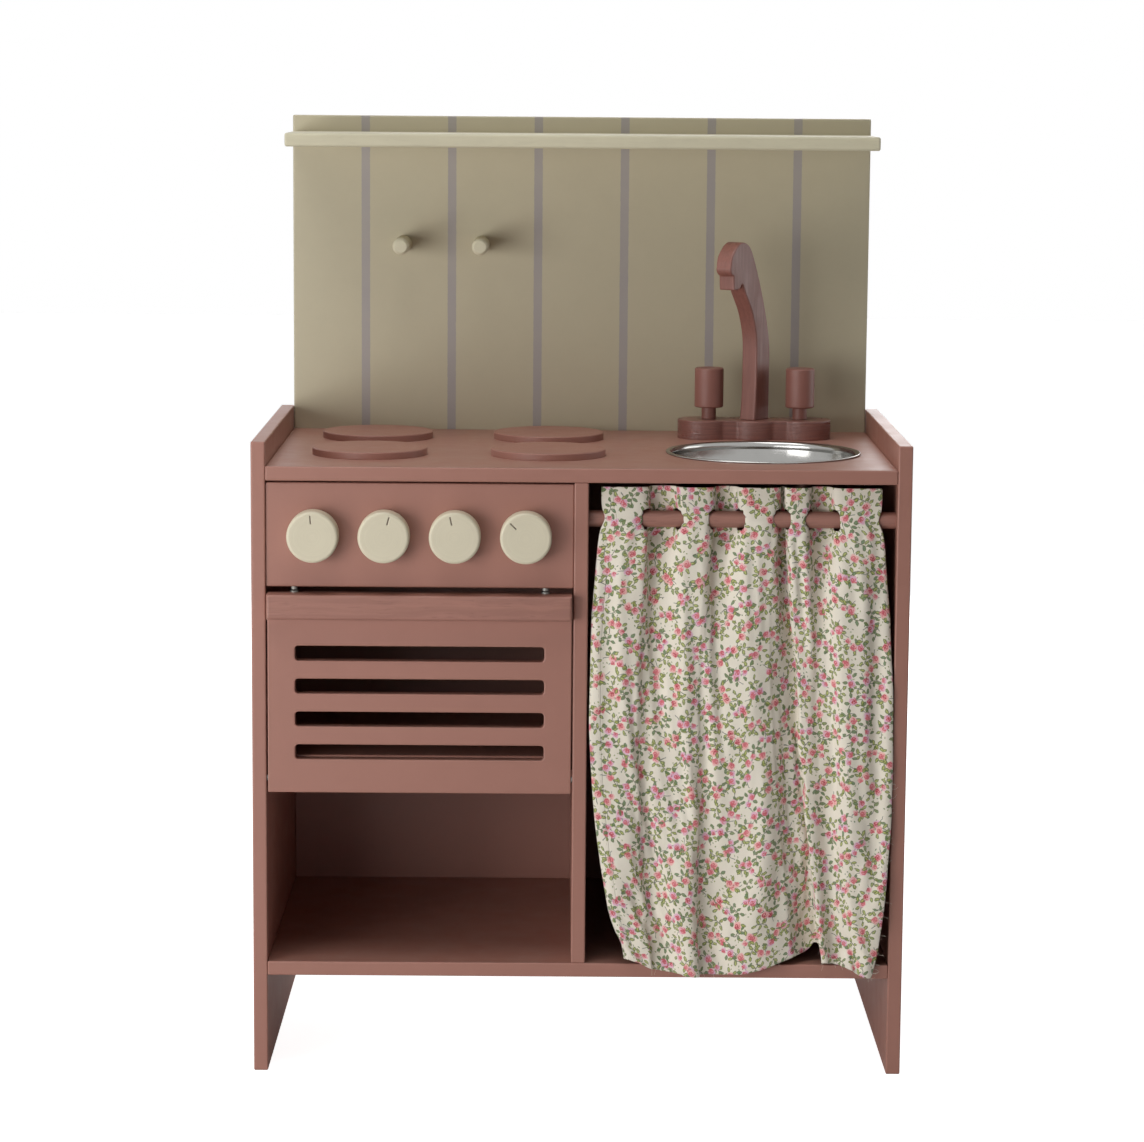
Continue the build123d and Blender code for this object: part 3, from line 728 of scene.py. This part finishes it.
def polishedSteel(centre):
    # spun and polished stainless steel: faint rings, hairline scratches, finger smears
    material, tree, shader, place = newMaterial("polishedSteel", Metallic=1.0)
    rings = useGroup(tree, "latheRings", {"Vector": place, "Centre": centre, "Ring Scale": 2600.0})
    smear = remap(tree, cloud(tree, place, 30.0, 4.0, 0.6), 0.45, 0.75)
    brushed = times(tree, rings["Brushed"], 0.4)
    tone = blendColours(tree, brushed, linear(166, 165, 162), linear(128, 128, 126))
    rough = calc(tree, "MULTIPLY_ADD", rings["Rings"], 0.12, 0.07)
    rough = calc(tree, "MULTIPLY_ADD", smear, 0.1, rough, clamp=True)
    finishSurface(tree, shader, tone, rough, rings["Rings"], 0.000012)
    return material


def platedSteel(name):
    # zinc or nickel plate: cloudy, slightly pitted
    colour, roughness = steels[name]
    material, tree, shader, place = newMaterial(name, Metallic=1.0)
    spots = cloud(tree, place, 900.0, 4.0, 0.65)
    haze = remap(tree, cloud(tree, place, 160.0, 3.0), 0.3, 0.7)
    tone = blendColours(tree, times(tree, haze, 0.5), colour, linear(150, 150, 146))
    rough = calc(tree, "MULTIPLY_ADD", spots, 0.25, roughness, clamp=True)
    finishSurface(tree, shader, tone, rough, spots, 0.00003)
    return material


def bareBeech():
    # dowels: bare beech with short dark flecks
    material, tree, shader, place = newMaterial("bareBeech")
    grain = useGroup(tree, "woodGrain", {"Vector": place, "Stretch": (30, 420, 420)})
    tone = blendColours(tree, grain["Grain"], linear(214, 178, 132), linear(176, 132, 88))
    flecked = blendColours(tree, times(tree, grain["Pores"], 0.5), tone, linear(128, 84, 52))
    rough = calc(tree, "MULTIPLY_ADD", grain["Grain"], 0.2, 0.5, clamp=True)
    finishSurface(tree, shader, flecked, rough, grain["Height"], 0.00008)
    return material


def floralCotton():
    # thin printed cotton: ink soaks into a plain weave, with slubs, a soft fuzz, and painted shade between
    # the threads
    material, tree, shader, _ = newMaterial("floralCotton", Sheen_Weight=0.18, Sheen_Roughness=0.5)
    flat = addNode(tree, "ShaderNodeUVMap", uv_map="clothFlat").outputs[0]
    weave = useGroup(tree, "plainWeave", {"Vector": flat})
    printed = useGroup(tree, "ditsyPrint", {"Vector": flat})
    slubs = times(tree, weave["Slub"], 0.22)
    faded = blendColours(tree, slubs, printed["Colour"], linear(232, 224, 212))
    # darker where the weave sinks between threads and a little lighter on their crests: painted shade and
    # highlight
    shaded = scaled(tree, faded, remap(tree, weave["Height"], 0.0, 1.0, 0.9, 1.03))
    rough = calc(tree, "MULTIPLY_ADD", printed["Ink"], -0.06, 0.9)
    height = calc(tree, "MULTIPLY_ADD", weave["Slub"], 0.7, weave["Height"])
    finishSurface(tree, shader, shaded, rough, height, 0.00006)
    return material


def cottonThread():
    # sewing and frayed thread: twisted, slightly fluffy
    material, tree, shader, place = newMaterial("cottonThread", Sheen_Weight=0.3)
    twist = addNode(
        tree, "ShaderNodeTexWave", {"Vector": place, "Scale": 900.0, "Distortion": 1.5},
        bands_direction="DIAGONAL",
    ).outputs["Fac"]
    tone = blendColours(tree, twist, linear(222, 212, 198), linear(198, 186, 170))
    rough = calc(tree, "MULTIPLY_ADD", twist, 0.1, 0.85)
    finishSurface(tree, shader, tone, rough, twist, 0.00003)
    return material


def studioFloor():
    material, tree, shader, place = newMaterial("studioFloor")
    haze = cloud(tree, place, 3.0, 3.0)
    tone = blendColours(tree, haze, (0.88, 0.88, 0.88, 1), (0.92, 0.92, 0.92, 1))
    rough = calc(tree, "MULTIPLY_ADD", haze, 0.1, 0.7)
    finishSurface(tree, shader, tone, rough, cloud(tree, place, 200.0, 2.0), 0.0001)
    seen = addNode(tree, "ShaderNodeLightPath").outputs["Is Camera Ray"]
    tree.links.new(blendColours(tree, seen, (0, 0, 0, 1), (1, 1, 1, 1)), shader.inputs["Emission Color"])
    shader.inputs["Emission Strength"].default_value = studio["floorGlow"]
    return material


def dress(material, *names):
    for name in names:
        mesh = nodes[name].data
        if not mesh.materials:
            mesh.materials.append(material)
        for index in range(len(mesh.materials)):
            mesh.materials[index] = material


def dressFrame():
    dress(
        boardPaint("terracottaBoard", "terracotta"),
        "left_side_panel", "right_side_panel", "worktop", "bottom_shelf", "centre_divider",
        "control_panel", "oven_floor", "back_panel", "oven_door_panel",
    )
    dress(stripedSage(), "backboard")
    dress(solidWoodPaint("paleSageWood"), "top_ledge")
    dress(solidWoodPaint("handleWood"), "door_handle", "curtain_rod")
    dress(solidWoodPaint("faucetWood"), "faucet_base")
    dress(solidWoodPaint("spoutWood"), "spout")
    for name in ("peg_left", "peg_right"):
        dress(turnedPaint(name, "paleSage", False), name)
    for name in ("tap_left", "tap_right"):
        dress(turnedPaint(name, "terracottaWood", True), name)
    for name in ("hob_front_left", "hob_front_right", "hob_rear_left", "hob_rear_right"):
        dress(turnedPaint(name, "terracotta", True), name)
    for name in ("knob_1", "knob_2", "knob_3", "knob_4"):
        dress(turnedPaint(name, "cream", False, knobGrooveShade), name)
    dress(polishedSteel(tuple(spanOf("sink_bowl")[2])), "sink_bowl")
    fixings = [name for name in nodes if any(word in name for word in ("screw", "bolt", "washer", "pins"))]
    dress(platedSteel("zincPlate"), *fixings)
    dress(platedSteel("nickelPlate"), "catch_magnets", "door_strikes")
    dress(bareBeech(), "carcass_dowels")


# ---- the curtain

# Stations run down the cloth: at the rod, above the middle, below the middle and at the hem.
# Each fold or hollow has its left and right shoulder, mm right of the kitchen's middle, how far behind
# the front it lies, and the height of the hem under each shoulder.
curtain = {
    "stations": (0.066, 0.343, 0.732, 1.0),  # share of the drop
    "top": 0.0275,  # cloth standing above the rod's middle
    "length": 0.418,
    "drop": 0.41,  # about how far the cloth hangs
    "middle": 15,  # how far behind the front the folds swing about, mm
    "folds": (
        {
            "left": (19.6, 6.9, 12, 30), "right": (53.8, 47.5, 47, 53.5), "back": (7.0, -4, -7, -9),
            "hem": (99, 91.5), "crisp": "right",
        },
        {
            "left": (55.6, 48, 48, 55), "right": (81, 64, 65, 64), "back": (23.0, 8, 3, -3.5),
            "hem": (91, 90), "crisp": "left",
        },
        {
            "left": (83.1, 80, 80, 82), "right": (108.7, 98, 97, 99), "back": (7.0, -4, -6, -11),
            "hem": (88.5, 87.5), "crisp": "right",
        },
        {
            "left": (110.6, 99.4, 98.4, 101), "right": (132, 113, 112, 110), "back": (23.0, 5, 2, -5.5),
            "hem": (88, 88.5), "crisp": "left",
        },
        {
            "left": (134.3, 131, 133, 135), "right": (162.8, 157, 170, 184), "back": (7.0, -7, -8, -9),
            "hem": (89, 103), "crisp": "right",
        },
        {
            "left": (165, 159, 173, 189), "right": (171, 178, 189, 203), "back": (23.0, 14, 10, 3),
            "hem": (103, 107), "crisp": "both",
        },
        {
            "left": (173.2, 179, 190, 201), "right": (188.4, 191, 199, 209), "back": (7.0, -2, -7, -10),
            "hem": (93.5, 92), "crisp": "left",
        },
        {
            "left": (190.5, 198, 204, 213), "right": (211, 206, 209, 218), "back": (23.0, 9, 0, -6),
            "hem": (91, 90),
        },
        {
            "left": (213.2, 214, 218, 224), "right": (247.9, 262, 262, 248), "back": (7.0, -7, -9, -9),
            "hem": (89, 86.5),
        },
    ),
    "crease": 1.3,  # how near its corner a crisp shoulder starts to turn, mm
    "crown": 0.1,  # how far a fold swells between its shoulders, as a share of its width
    "curl": 7.0,  # how far the two free edges turn back, mm, growing over the first stretch
    "curlGrows": 0.08,
    "flare": 3.0,  # how much wider a fold is just above and below the rod, mm
    "flareStarts": 0.0075,
    "flareFades": 0.05,
    "frill": (0.027, 0.28),  # the frill's height and how much shallower its folds are at its top
    "hole": (0.0079, 0.0091),  # half width and half height of an open buttonhole
    "simCell": 0.0032,  # cells of the cloth that is simulated
    "across": 0.0021,  # cells of the finished cloth, before it is smoothed: across, near the rod and below
    "downNear": 0.0022,
    "downBelow": 0.0042,
    "near": 0.052,  # how far down the small cells go
    "slack": 0.95,  # share of the cloth's width that the folds take up; fine creases take the rest
    "thickness": 0.0004,
    "sewnEdge": 0.0105,  # the leading edge's turned and sewn strip
    "frames": 26,
    "mostMove": 0.009,
    "slides": 0.035,  # left of here the real cloth slides whole with its sewn edge
    "stays": 0.264,  # right of here the real cloth stays where it is
}

# how the cotton behaves in the simulation
cotton = {
    "quality": 6, "mass": 0.12, "tension_stiffness": 18, "compression_stiffness": 18,
    "shear_stiffness": 6, "bending_stiffness": 0.35, "air_damping": 2, "pin_stiffness": 0.8,
}

threads = {
    "loose": 46,
    "atSide": 26,  # how many of the loose ones are on the right edge; the rest are on the hem
    "looseRadius": 0.00009,
    "stitchRadius": 0.00016,
    "stitch": 0.0031,
    "step": 0.0062,
    "fromFold": 0.0022,
}


def stationValue(values, share):
    # the smooth curve through the values at the four stations
    stations = curtain["stations"]
    total = 0.0
    for i, value in enumerate(values):
        weight = 1.0
        for j, other in enumerate(stations):
            if j != i:
                weight = weight * (share - other) / (stations[i] - other)
        total = total + value * weight
    return total


def cutCorners(points, times):
    # rounds a line off by cutting its corners again and again
    for _ in range(times):
        first = points[:-1] * 0.75 + points[1:] * 0.25
        second = points[:-1] * 0.25 + points[1:] * 0.75
        middle = np.empty((2 * len(first), points.shape[1]))
        middle[0::2] = first
        middle[1::2] = second
        points = np.vstack([points[:1], middle, points[-1:]])
    return points


def rowShape(share):
    # one row of the cloth from left to right: across, back and the hem's height under it, in metres
    atRod = curtain["stations"][0]
    below = max(share, atRod)
    fromRod = (share - atRod) * curtain["drop"]
    flare = curtain["flare"] * (1 - math.exp(-((fromRod / curtain["flareStarts"]) ** 2)))
    flare *= math.exp(-max(fromRod, 0) / curtain["flareFades"])
    frillHeight, shallower = curtain["frill"]
    ease = 1 - shallower * min(max(-fromRod / frillHeight, 0), 1)
    edgeTurn = curtain["curl"] * min(max(fromRod / curtain["curlGrows"], 0), 1)
    points = []
    crisp = []
    folds = curtain["folds"]
    for number, fold in enumerate(folds):
        left, right, back = (stationValue(fold[key], below) for key in ("left", "right", "back"))
        forward = number % 2 == 0
        if forward:
            left, right = left - flare, right + flare
        else:
            left, right = left + flare * 0.6, right - flare * 0.6
        back = curtain["middle"] + (back - curtain["middle"]) * (ease if share < atRod else 1)
        hemLeft, hemRight = fold["hem"]
        swell = curtain["crown"] * (right - left) * (1 if below > atRod else 0.35)
        sharp = fold.get("crisp", "") if fromRod > 0.012 else ""
        if number == 0:
            points.append((left, back + edgeTurn, hemLeft))
            points.append((left + 3, back + edgeTurn * 0.2, hemLeft))
        else:
            points.append((left, back, hemLeft))
            if sharp in ("left", "both"):
                crisp.append(len(points) - 1)
        if forward:
            points.append(((left + right) / 2, back - swell, (hemLeft + hemRight) / 2))
        if number == len(folds) - 1:
            points.append((right - 3, back + edgeTurn * 0.2, hemRight))
            points.append((right, back + edgeTurn, hemRight))
        else:
            points.append((right, back, hemRight))
            if sharp in ("right", "both"):
                crisp.append(len(points) - 1)
    return cutCorners(creased(np.array(points), crisp) / 1000, 3)


def creased(points, crisp):
    # puts two more points close beside each crisp shoulder, so that it is rounded off very little
    row = []
    for index, point in enumerate(points):
        if index not in crisp:
            row.append(point)
            continue
        for other in (points[index - 1], point, points[index + 1]):
            step = other - point
            distance = np.linalg.norm(step[:2])
            row.append(point + step * min(curtain["crease"] / max(distance, 1e-6), 0.45))
    return np.array(row)


def lengthAlong(points):
    steps = np.linalg.norm(np.diff(points[:, :2], axis=0), axis=1)
    return np.concatenate([[0], np.cumsum(steps)])


def deepened(points, wanted):
    # makes the folds of a row deeper or shallower until it uses up the cloth's width
    middle = points[:, 1].mean()
    low, high = 0.5, 1.9
    for _ in range(18):
        depth = (low + high) / 2
        tried = points.copy()
        tried[:, 1] = middle + (points[:, 1] - middle) * depth
        if lengthAlong(tried)[-1] > wanted:
            high = depth
        else:
            low = depth
    return tried


def designCurtain():
    # the cloth as a table of places: rows from the top of the frill to the hem, samples across
    rows, samples = 150, 700
    atRod = curtain["stations"][0]
    width = lengthAlong(rowShape(atRod))[-1]
    top = rodMiddle.z + curtain["top"]
    table = np.zeros((rows, samples, 3))
    for row in range(rows):
        share = row / (rows - 1)
        points = rowShape(share)
        if share > atRod:
            amount = min((share - atRod) / 0.25, 1)
            points = points * (1 - amount) + deepened(points, width * curtain["slack"]) * amount
        along = lengthAlong(points)
        even = np.linspace(0, along[-1], samples)
        across, back, hem = (np.interp(even, along, points[:, axis]) for axis in range(3))
        table[row] = np.stack([across, frontY + back, top + (hem - top) * share], axis=1)
    return table, width


def readTable(table, across, down):
    # places on the cloth for shares across and down, between the table's own rows and samples
    rows, samples = table.shape[:2]
    x = np.clip(across, 0, 1) * (samples - 1)
    y = np.clip(down, 0, 1) * (rows - 1)
    x0 = np.minimum(x.astype(int), samples - 2)
    y0 = np.minimum(y.astype(int), rows - 2)
    fx = (x - x0)[:, None]
    fy = (y - y0)[:, None]
    upper = table[y0, x0] * (1 - fx) + table[y0, x0 + 1] * fx
    lower = table[y0 + 1, x0] * (1 - fx) + table[y0 + 1, x0 + 1] * fx
    return upper * (1 - fy) + lower * fy


def buttonholes(width):
    # where the rod goes through: the middle of each step from a fold to a hollow, along the cloth
    points = rowShape(curtain["stations"][0])
    along = lengthAlong(points)
    middle = (points[:, 1].min() + points[:, 1].max()) / 2
    side = points[:, 1] > middle
    found = np.nonzero(side[1:] != side[:-1])[0]
    return [(along[i] + along[i + 1]) / 2 / along[-1] * width for i in found]


def gridLines(length, near, below, change):
    # places of the grid's lines: close together as far as change, wider apart after it
    first = np.linspace(0, change, round(change / near) + 1)
    rest = np.linspace(change, length, round((length - change) / below) + 1)
    return np.concatenate([first, rest[1:]])


def cutCloth(columns, rows):
    # the flat cloth as a grid on those lines, with its buttonholes cut out
    width = columns[-1]
    cell = columns[1]
    xs, ys = np.meshgrid(columns, rows)
    flat = np.stack([xs.ravel(), ys.ravel()], axis=1)
    holeAcross, holeDown = curtain["hole"]
    rodDown = curtain["top"]
    inside = np.zeros(len(flat), bool)
    for centre in buttonholes(width):
        offset = (flat - (centre, rodDown)) / (holeAcross, holeDown)
        distance = np.linalg.norm(offset, axis=1)
        # points next to the hole's edge move onto it
        ring = np.abs(distance - 1) < 0.5 * cell / holeAcross
        flat[ring] = (centre, rodDown) + offset[ring] / distance[ring][:, None] * (holeAcross, holeDown)
        inside |= (distance < 1) & ~ring
    faces = []
    across = len(columns)
    for row in range(len(rows) - 1):
        for column in range(across - 1):
            a = row * across + column
            corners = (a, a + across, a + across + 1, a + 1)
            if not inside[list(corners)].any():
                faces.append(corners)
    used, faces = tidiedFaces(faces)
    return flat[used], faces, used


def tidiedFaces(faces):
    # the corners that the faces use, and the faces with those corners numbered afresh
    used = sorted({corner for face in faces for corner in face})
    renamed = {old: new for new, old in enumerate(used)}
    return np.array(used), [tuple(renamed[corner] for corner in face) for face in faces]


def meshFrom(name, places, faces, flat=None):
    mesh = bpy.data.meshes.new(name)
    mesh.from_pydata([tuple(p) for p in places], [], faces)
    if flat is not None:
        layer = mesh.uv_layers.new(name="clothFlat")
        corners = np.zeros(len(mesh.loops), int)
        mesh.loops.foreach_get("vertex_index", corners)
        layer.data.foreach_set("uv", np.asarray(flat)[corners].ravel())
    mesh.shade_smooth()
    made = bpy.data.objects.new(name, mesh)
    bpy.context.scene.collection.objects.link(made)
    return made


def ofVertices(mesh, what):
    values = np.zeros(len(mesh.vertices) * 3)
    mesh.vertices.foreach_get(what, values)
    return values.reshape(-1, 3)


def appliedMesh(piece, name):
    # the piece's mesh with its modifiers applied
    evaluated = piece.evaluated_get(bpy.context.evaluated_depsgraph_get())
    mesh = bpy.data.meshes.new_from_object(evaluated)
    mesh.name = name
    return mesh


def hangCloth(cloth, flat):
    # lets the designed folds settle as cotton: the rod holds the top, a light pull keeps the rest
    # where it is
    cloth.shape_key_add(name="Basis")
    cut = cloth.shape_key_add(name="cut")
    flatPlaces = np.zeros((len(flat), 3))
    flatPlaces[:, 0] = flat[:, 0]
    flatPlaces[:, 2] = rodMiddle.z + curtain["top"] - flat[:, 1]
    cut.data.foreach_set("co", flatPlaces.ravel())
    cut.value = 0
    held = cloth.vertex_groups.new(name="held")
    belowRod = flat[:, 1] - curtain["top"] - 0.013
    for index, depth in enumerate(belowRod):
        held.add([index], 1.0 if depth < 0 else 0.10 + 0.5 * math.exp(-depth / 0.012), "REPLACE")
    modifier = cloth.modifiers.new("cotton", "CLOTH")
    for key, value in cotton.items():
        setattr(modifier.settings, key, value)
    modifier.settings.vertex_group_mass = "held"
    modifier.settings.rest_shape_key = cut
    touching = modifier.collision_settings
    touching.use_collision = True
    touching.use_self_collision = True
    touching.distance_min = touching.self_distance_min = 0.0012
    touching.collision_quality = 3
    walls = []
    for name in ("bottom_shelf", "centre_divider", "right_side_panel"):
        wall = meshFrom("wall_" + name, *boxShape(*spanOf(name)[:2]))
        wall.modifiers.new("wall", "COLLISION")
        wall.collision.thickness_outer = 0.001
        walls.append(wall)
    modifier.point_cache.frame_start = 1
    modifier.point_cache.frame_end = curtain["frames"]
    for number in range(1, curtain["frames"] + 1):
        bpy.context.scene.frame_set(number)
    settled = ofVertices(appliedMesh(cloth, "settled"), "co")
    bpy.context.scene.frame_set(1)
    for wall in walls:
        bpy.data.objects.remove(wall)
    return settled


def boxShape(low, high):
    places = [(x, y, z) for x in (low.x, high.x) for y in (low.y, high.y) for z in (low.z, high.z)]
    faces = [(0, 1, 3, 2), (4, 6, 7, 5), (0, 4, 5, 1), (2, 3, 7, 6), (0, 2, 6, 4), (1, 5, 7, 3)]
    return places, faces


def wavy(first, rate, second, sway, swayRate, phase=0.0):
    # waves along the first direction, with crests that sway along the second
    return np.sin(first * rate + sway * np.sin(second * swayRate + phase))


def rumple(places, flat, normals):
    # gathers under the rod, soft creases and slack that a thin cotton keeps; each fades in below the rod
    across, down = flat.T
    below = np.clip(down - curtain["top"], 0, None)
    gathers = np.sin(across * 2 * math.pi / 0.0125 + 1.7 * np.sin(across * 61) + 0.8 * np.sin(down * 23))
    gathers = gathers * 0.0008 * np.exp(-below / 0.045) * np.clip(below / 0.012, 0, 1)
    slack = wavy(across, 97, down, 2.1, 31, 0.6) * wavy(down, 43, across, 1.9, 37)
    slack = slack * 0.0007 * np.clip(below / 0.05, 0, 1)
    fine = wavy(across, 310, down, 3.1, 57) * wavy(down, 140, across, 2.2, 83)
    fine = fine * 0.00022 * np.clip(below / 0.02, 0, 1)
    return places + normals * (gathers + slack + fine)[:, None]


def thicken(piece):
    smooth = piece.modifiers.new("smooth", "SUBSURF")
    smooth.levels = smooth.render_levels = 1
    solid = piece.modifiers.new("solid", "SOLIDIFY")
    solid.thickness = curtain["thickness"]
    solid.offset = 0
    mesh = appliedMesh(piece, piece.name)
    piece.modifiers.clear()
    piece.data = mesh
    mesh.shade_smooth()


def partOfCloth(name, places, faces, flat, chosen):
    used, picked = tidiedFaces([faces[face] for face in chosen])
    return meshFrom(name, places[used], picked, flat[used])


def settle(table, width, length):
    # how the simulated cloth moves away from the designed folds, as a table over the flat cloth
    cell = curtain["simCell"]
    columns = np.linspace(0, width, round(width / cell) + 1)
    rows = np.linspace(0, length, round(length / cell) + 1)
    flat, faces, used = cutCloth(columns, rows)
    places = readTable(table, flat[:, 0] / width, flat[:, 1] / length)
    cloth = meshFrom("cotton_sheet", places, faces, flat)
    settled = hangCloth(cloth, flat)
    bpy.data.objects.remove(cloth)
    move = settled - places
    far = np.linalg.norm(move, axis=1)
    print("cloth settled: moved", round(float(far.mean()) * 1000, 2), "mm on average")
    move *= np.minimum(1, curtain["mostMove"] / np.maximum(far, 1e-9))[:, None]
    moves = np.zeros((len(rows) * len(columns), 3))
    moves[used] = move
    return moves.reshape(len(rows), len(columns), 3)


def makeCurtain():
    table, width = designCurtain()
    length = curtain["length"]
    columns = np.linspace(0, width, round(width / curtain["across"]) + 1)
    rows = gridLines(length, curtain["downNear"], curtain["downBelow"], curtain["near"])
    flat, faces, _ = cutCloth(columns, rows)
    places = readTable(table, flat[:, 0] / width, flat[:, 1] / length)
    moves = settle(table, width, length)
    places = places + readTable(moves, flat[:, 0] / width, flat[:, 1] / length)
    cloth = meshFrom("floral_curtain", places, faces, flat)
    places = rumple(places, flat, ofVertices(cloth.data, "normal"))
    bpy.data.objects.remove(cloth)
    middle = np.array([flat[list(face), 0].mean() for face in faces])
    edgeFaces = np.nonzero(middle < curtain["sewnEdge"])[0]
    mainFaces = np.nonzero(middle >= curtain["sewnEdge"])[0]
    cloth = partOfCloth("floral_curtain", places, faces, flat, mainFaces)
    edge = partOfCloth("curtain_sewn_edge", places, faces, flat, edgeFaces)
    printed = floralCotton()
    for piece in (cloth, edge):
        thicken(piece)
        piece.data.materials.clear()
        piece.data.materials.append(printed)
    return cloth, edge, places, flat, width


def threadPiece(name, lines, radius, material):
    # short lengths of thread as one mesh
    curve = bpy.data.curves.new(name, "CURVE")
    curve.dimensions = "3D"
    curve.bevel_depth = radius
    curve.bevel_resolution = 1
    curve.resolution_u = 3
    for line in lines:
        spline = curve.splines.new("NURBS")
        spline.points.add(len(line) - 1)
        for point, place in zip(spline.points, line):
            point.co = (*place, 1)
        spline.order_u = 3
        spline.use_endpoint_u = True
    holder = bpy.data.objects.new(name + "_line", curve)
    bpy.context.scene.collection.objects.link(holder)
    mesh = appliedMesh(holder, name)
    bpy.data.objects.remove(holder)
    piece = bpy.data.objects.new(name, mesh)
    bpy.context.scene.collection.objects.link(piece)
    mesh.materials.clear()
    mesh.materials.append(material)
    mesh.shade_smooth()
    return piece


def nearestPlace(places, flat, across, down):
    return places[np.argmin(np.linalg.norm(flat - (across, down), axis=1))]


def frayedThreads(places, flat, width, material):
    # loose ends along the raw right edge and the hem
    dice = random.Random(14)
    length = curtain["length"]
    lines = []
    for number in range(threads["loose"]):
        if number < threads["atSide"]:
            across, down = width, length * (1 - 0.42 * dice.random() ** 1.6)
            outward = Vector((1, -0.1, -0.15))
        else:
            across, down = width * dice.choice((dice.uniform(0.05, 0.6), dice.uniform(0.74, 1))), length
            outward = Vector((0.1, -0.1, -1))
        start = Vector(nearestPlace(places, flat, across, down))
        reach = dice.uniform(0.0015, 0.006)
        line = [start - outward.normalized() * 0.0012]
        heading = outward.normalized()
        for _ in range(4):
            line.append(line[-1] + heading * reach / 3)
            heading = (heading + Vector([dice.uniform(-0.55, 0.55) for _ in range(3)])).normalized()
        lines.append(line)
    return threadPiece("curtain_frayed_threads", lines, threads["looseRadius"], material)


def edgeStitches(places, flat, material):
    # the running stitch that holds the turned leading edge
    lines = []
    across = curtain["sewnEdge"] - threads["fromFold"]
    lift = Vector((0, -0.00032, 0))
    sunk = Vector((0, 0.00025, 0))
    down = 0.006
    while down < curtain["length"] - 0.008:
        first = Vector(nearestPlace(places, flat, across, down))
        last = Vector(nearestPlace(places, flat, across, down + threads["stitch"]))
        top = [first.lerp(last, share) + lift for share in (0.2, 0.8)]
        lines.append([first + sunk, *top, last + sunk])
        down += threads["step"]
    return threadPiece("curtain_edge_stitches", lines, threads["stitchRadius"], material)


# ---- putting it together

setCamera()
setStudio()
dressFrame()
print("frame dressed")

cloth, sewnEdge, clothPlaces, clothFlat, clothWidth = makeCurtain()
thread = cottonThread()
frays = frayedThreads(clothPlaces, clothFlat, clothWidth, thread)
stitches = edgeStitches(clothPlaces, clothFlat, thread)
print("curtain hung: cut", round(clothWidth, 4), "by", curtain["length"])

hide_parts("curtain_cloth")
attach(sewnEdge, "curtain_edge")
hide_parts("curtain_leading_hem")
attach(stitches, "curtain_edge")
for piece in (cloth, frays):
    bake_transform(piece)

reach = studio["floorSize"]
corners = [(-reach, -reach, 0), (reach, -reach, 0), (reach, reach, 0), (-reach, reach, 0)]
floor = meshFrom("studio_floor", corners, [(0, 1, 2, 3)])
floor.data.materials.append(studioFloor())
print("floor laid")
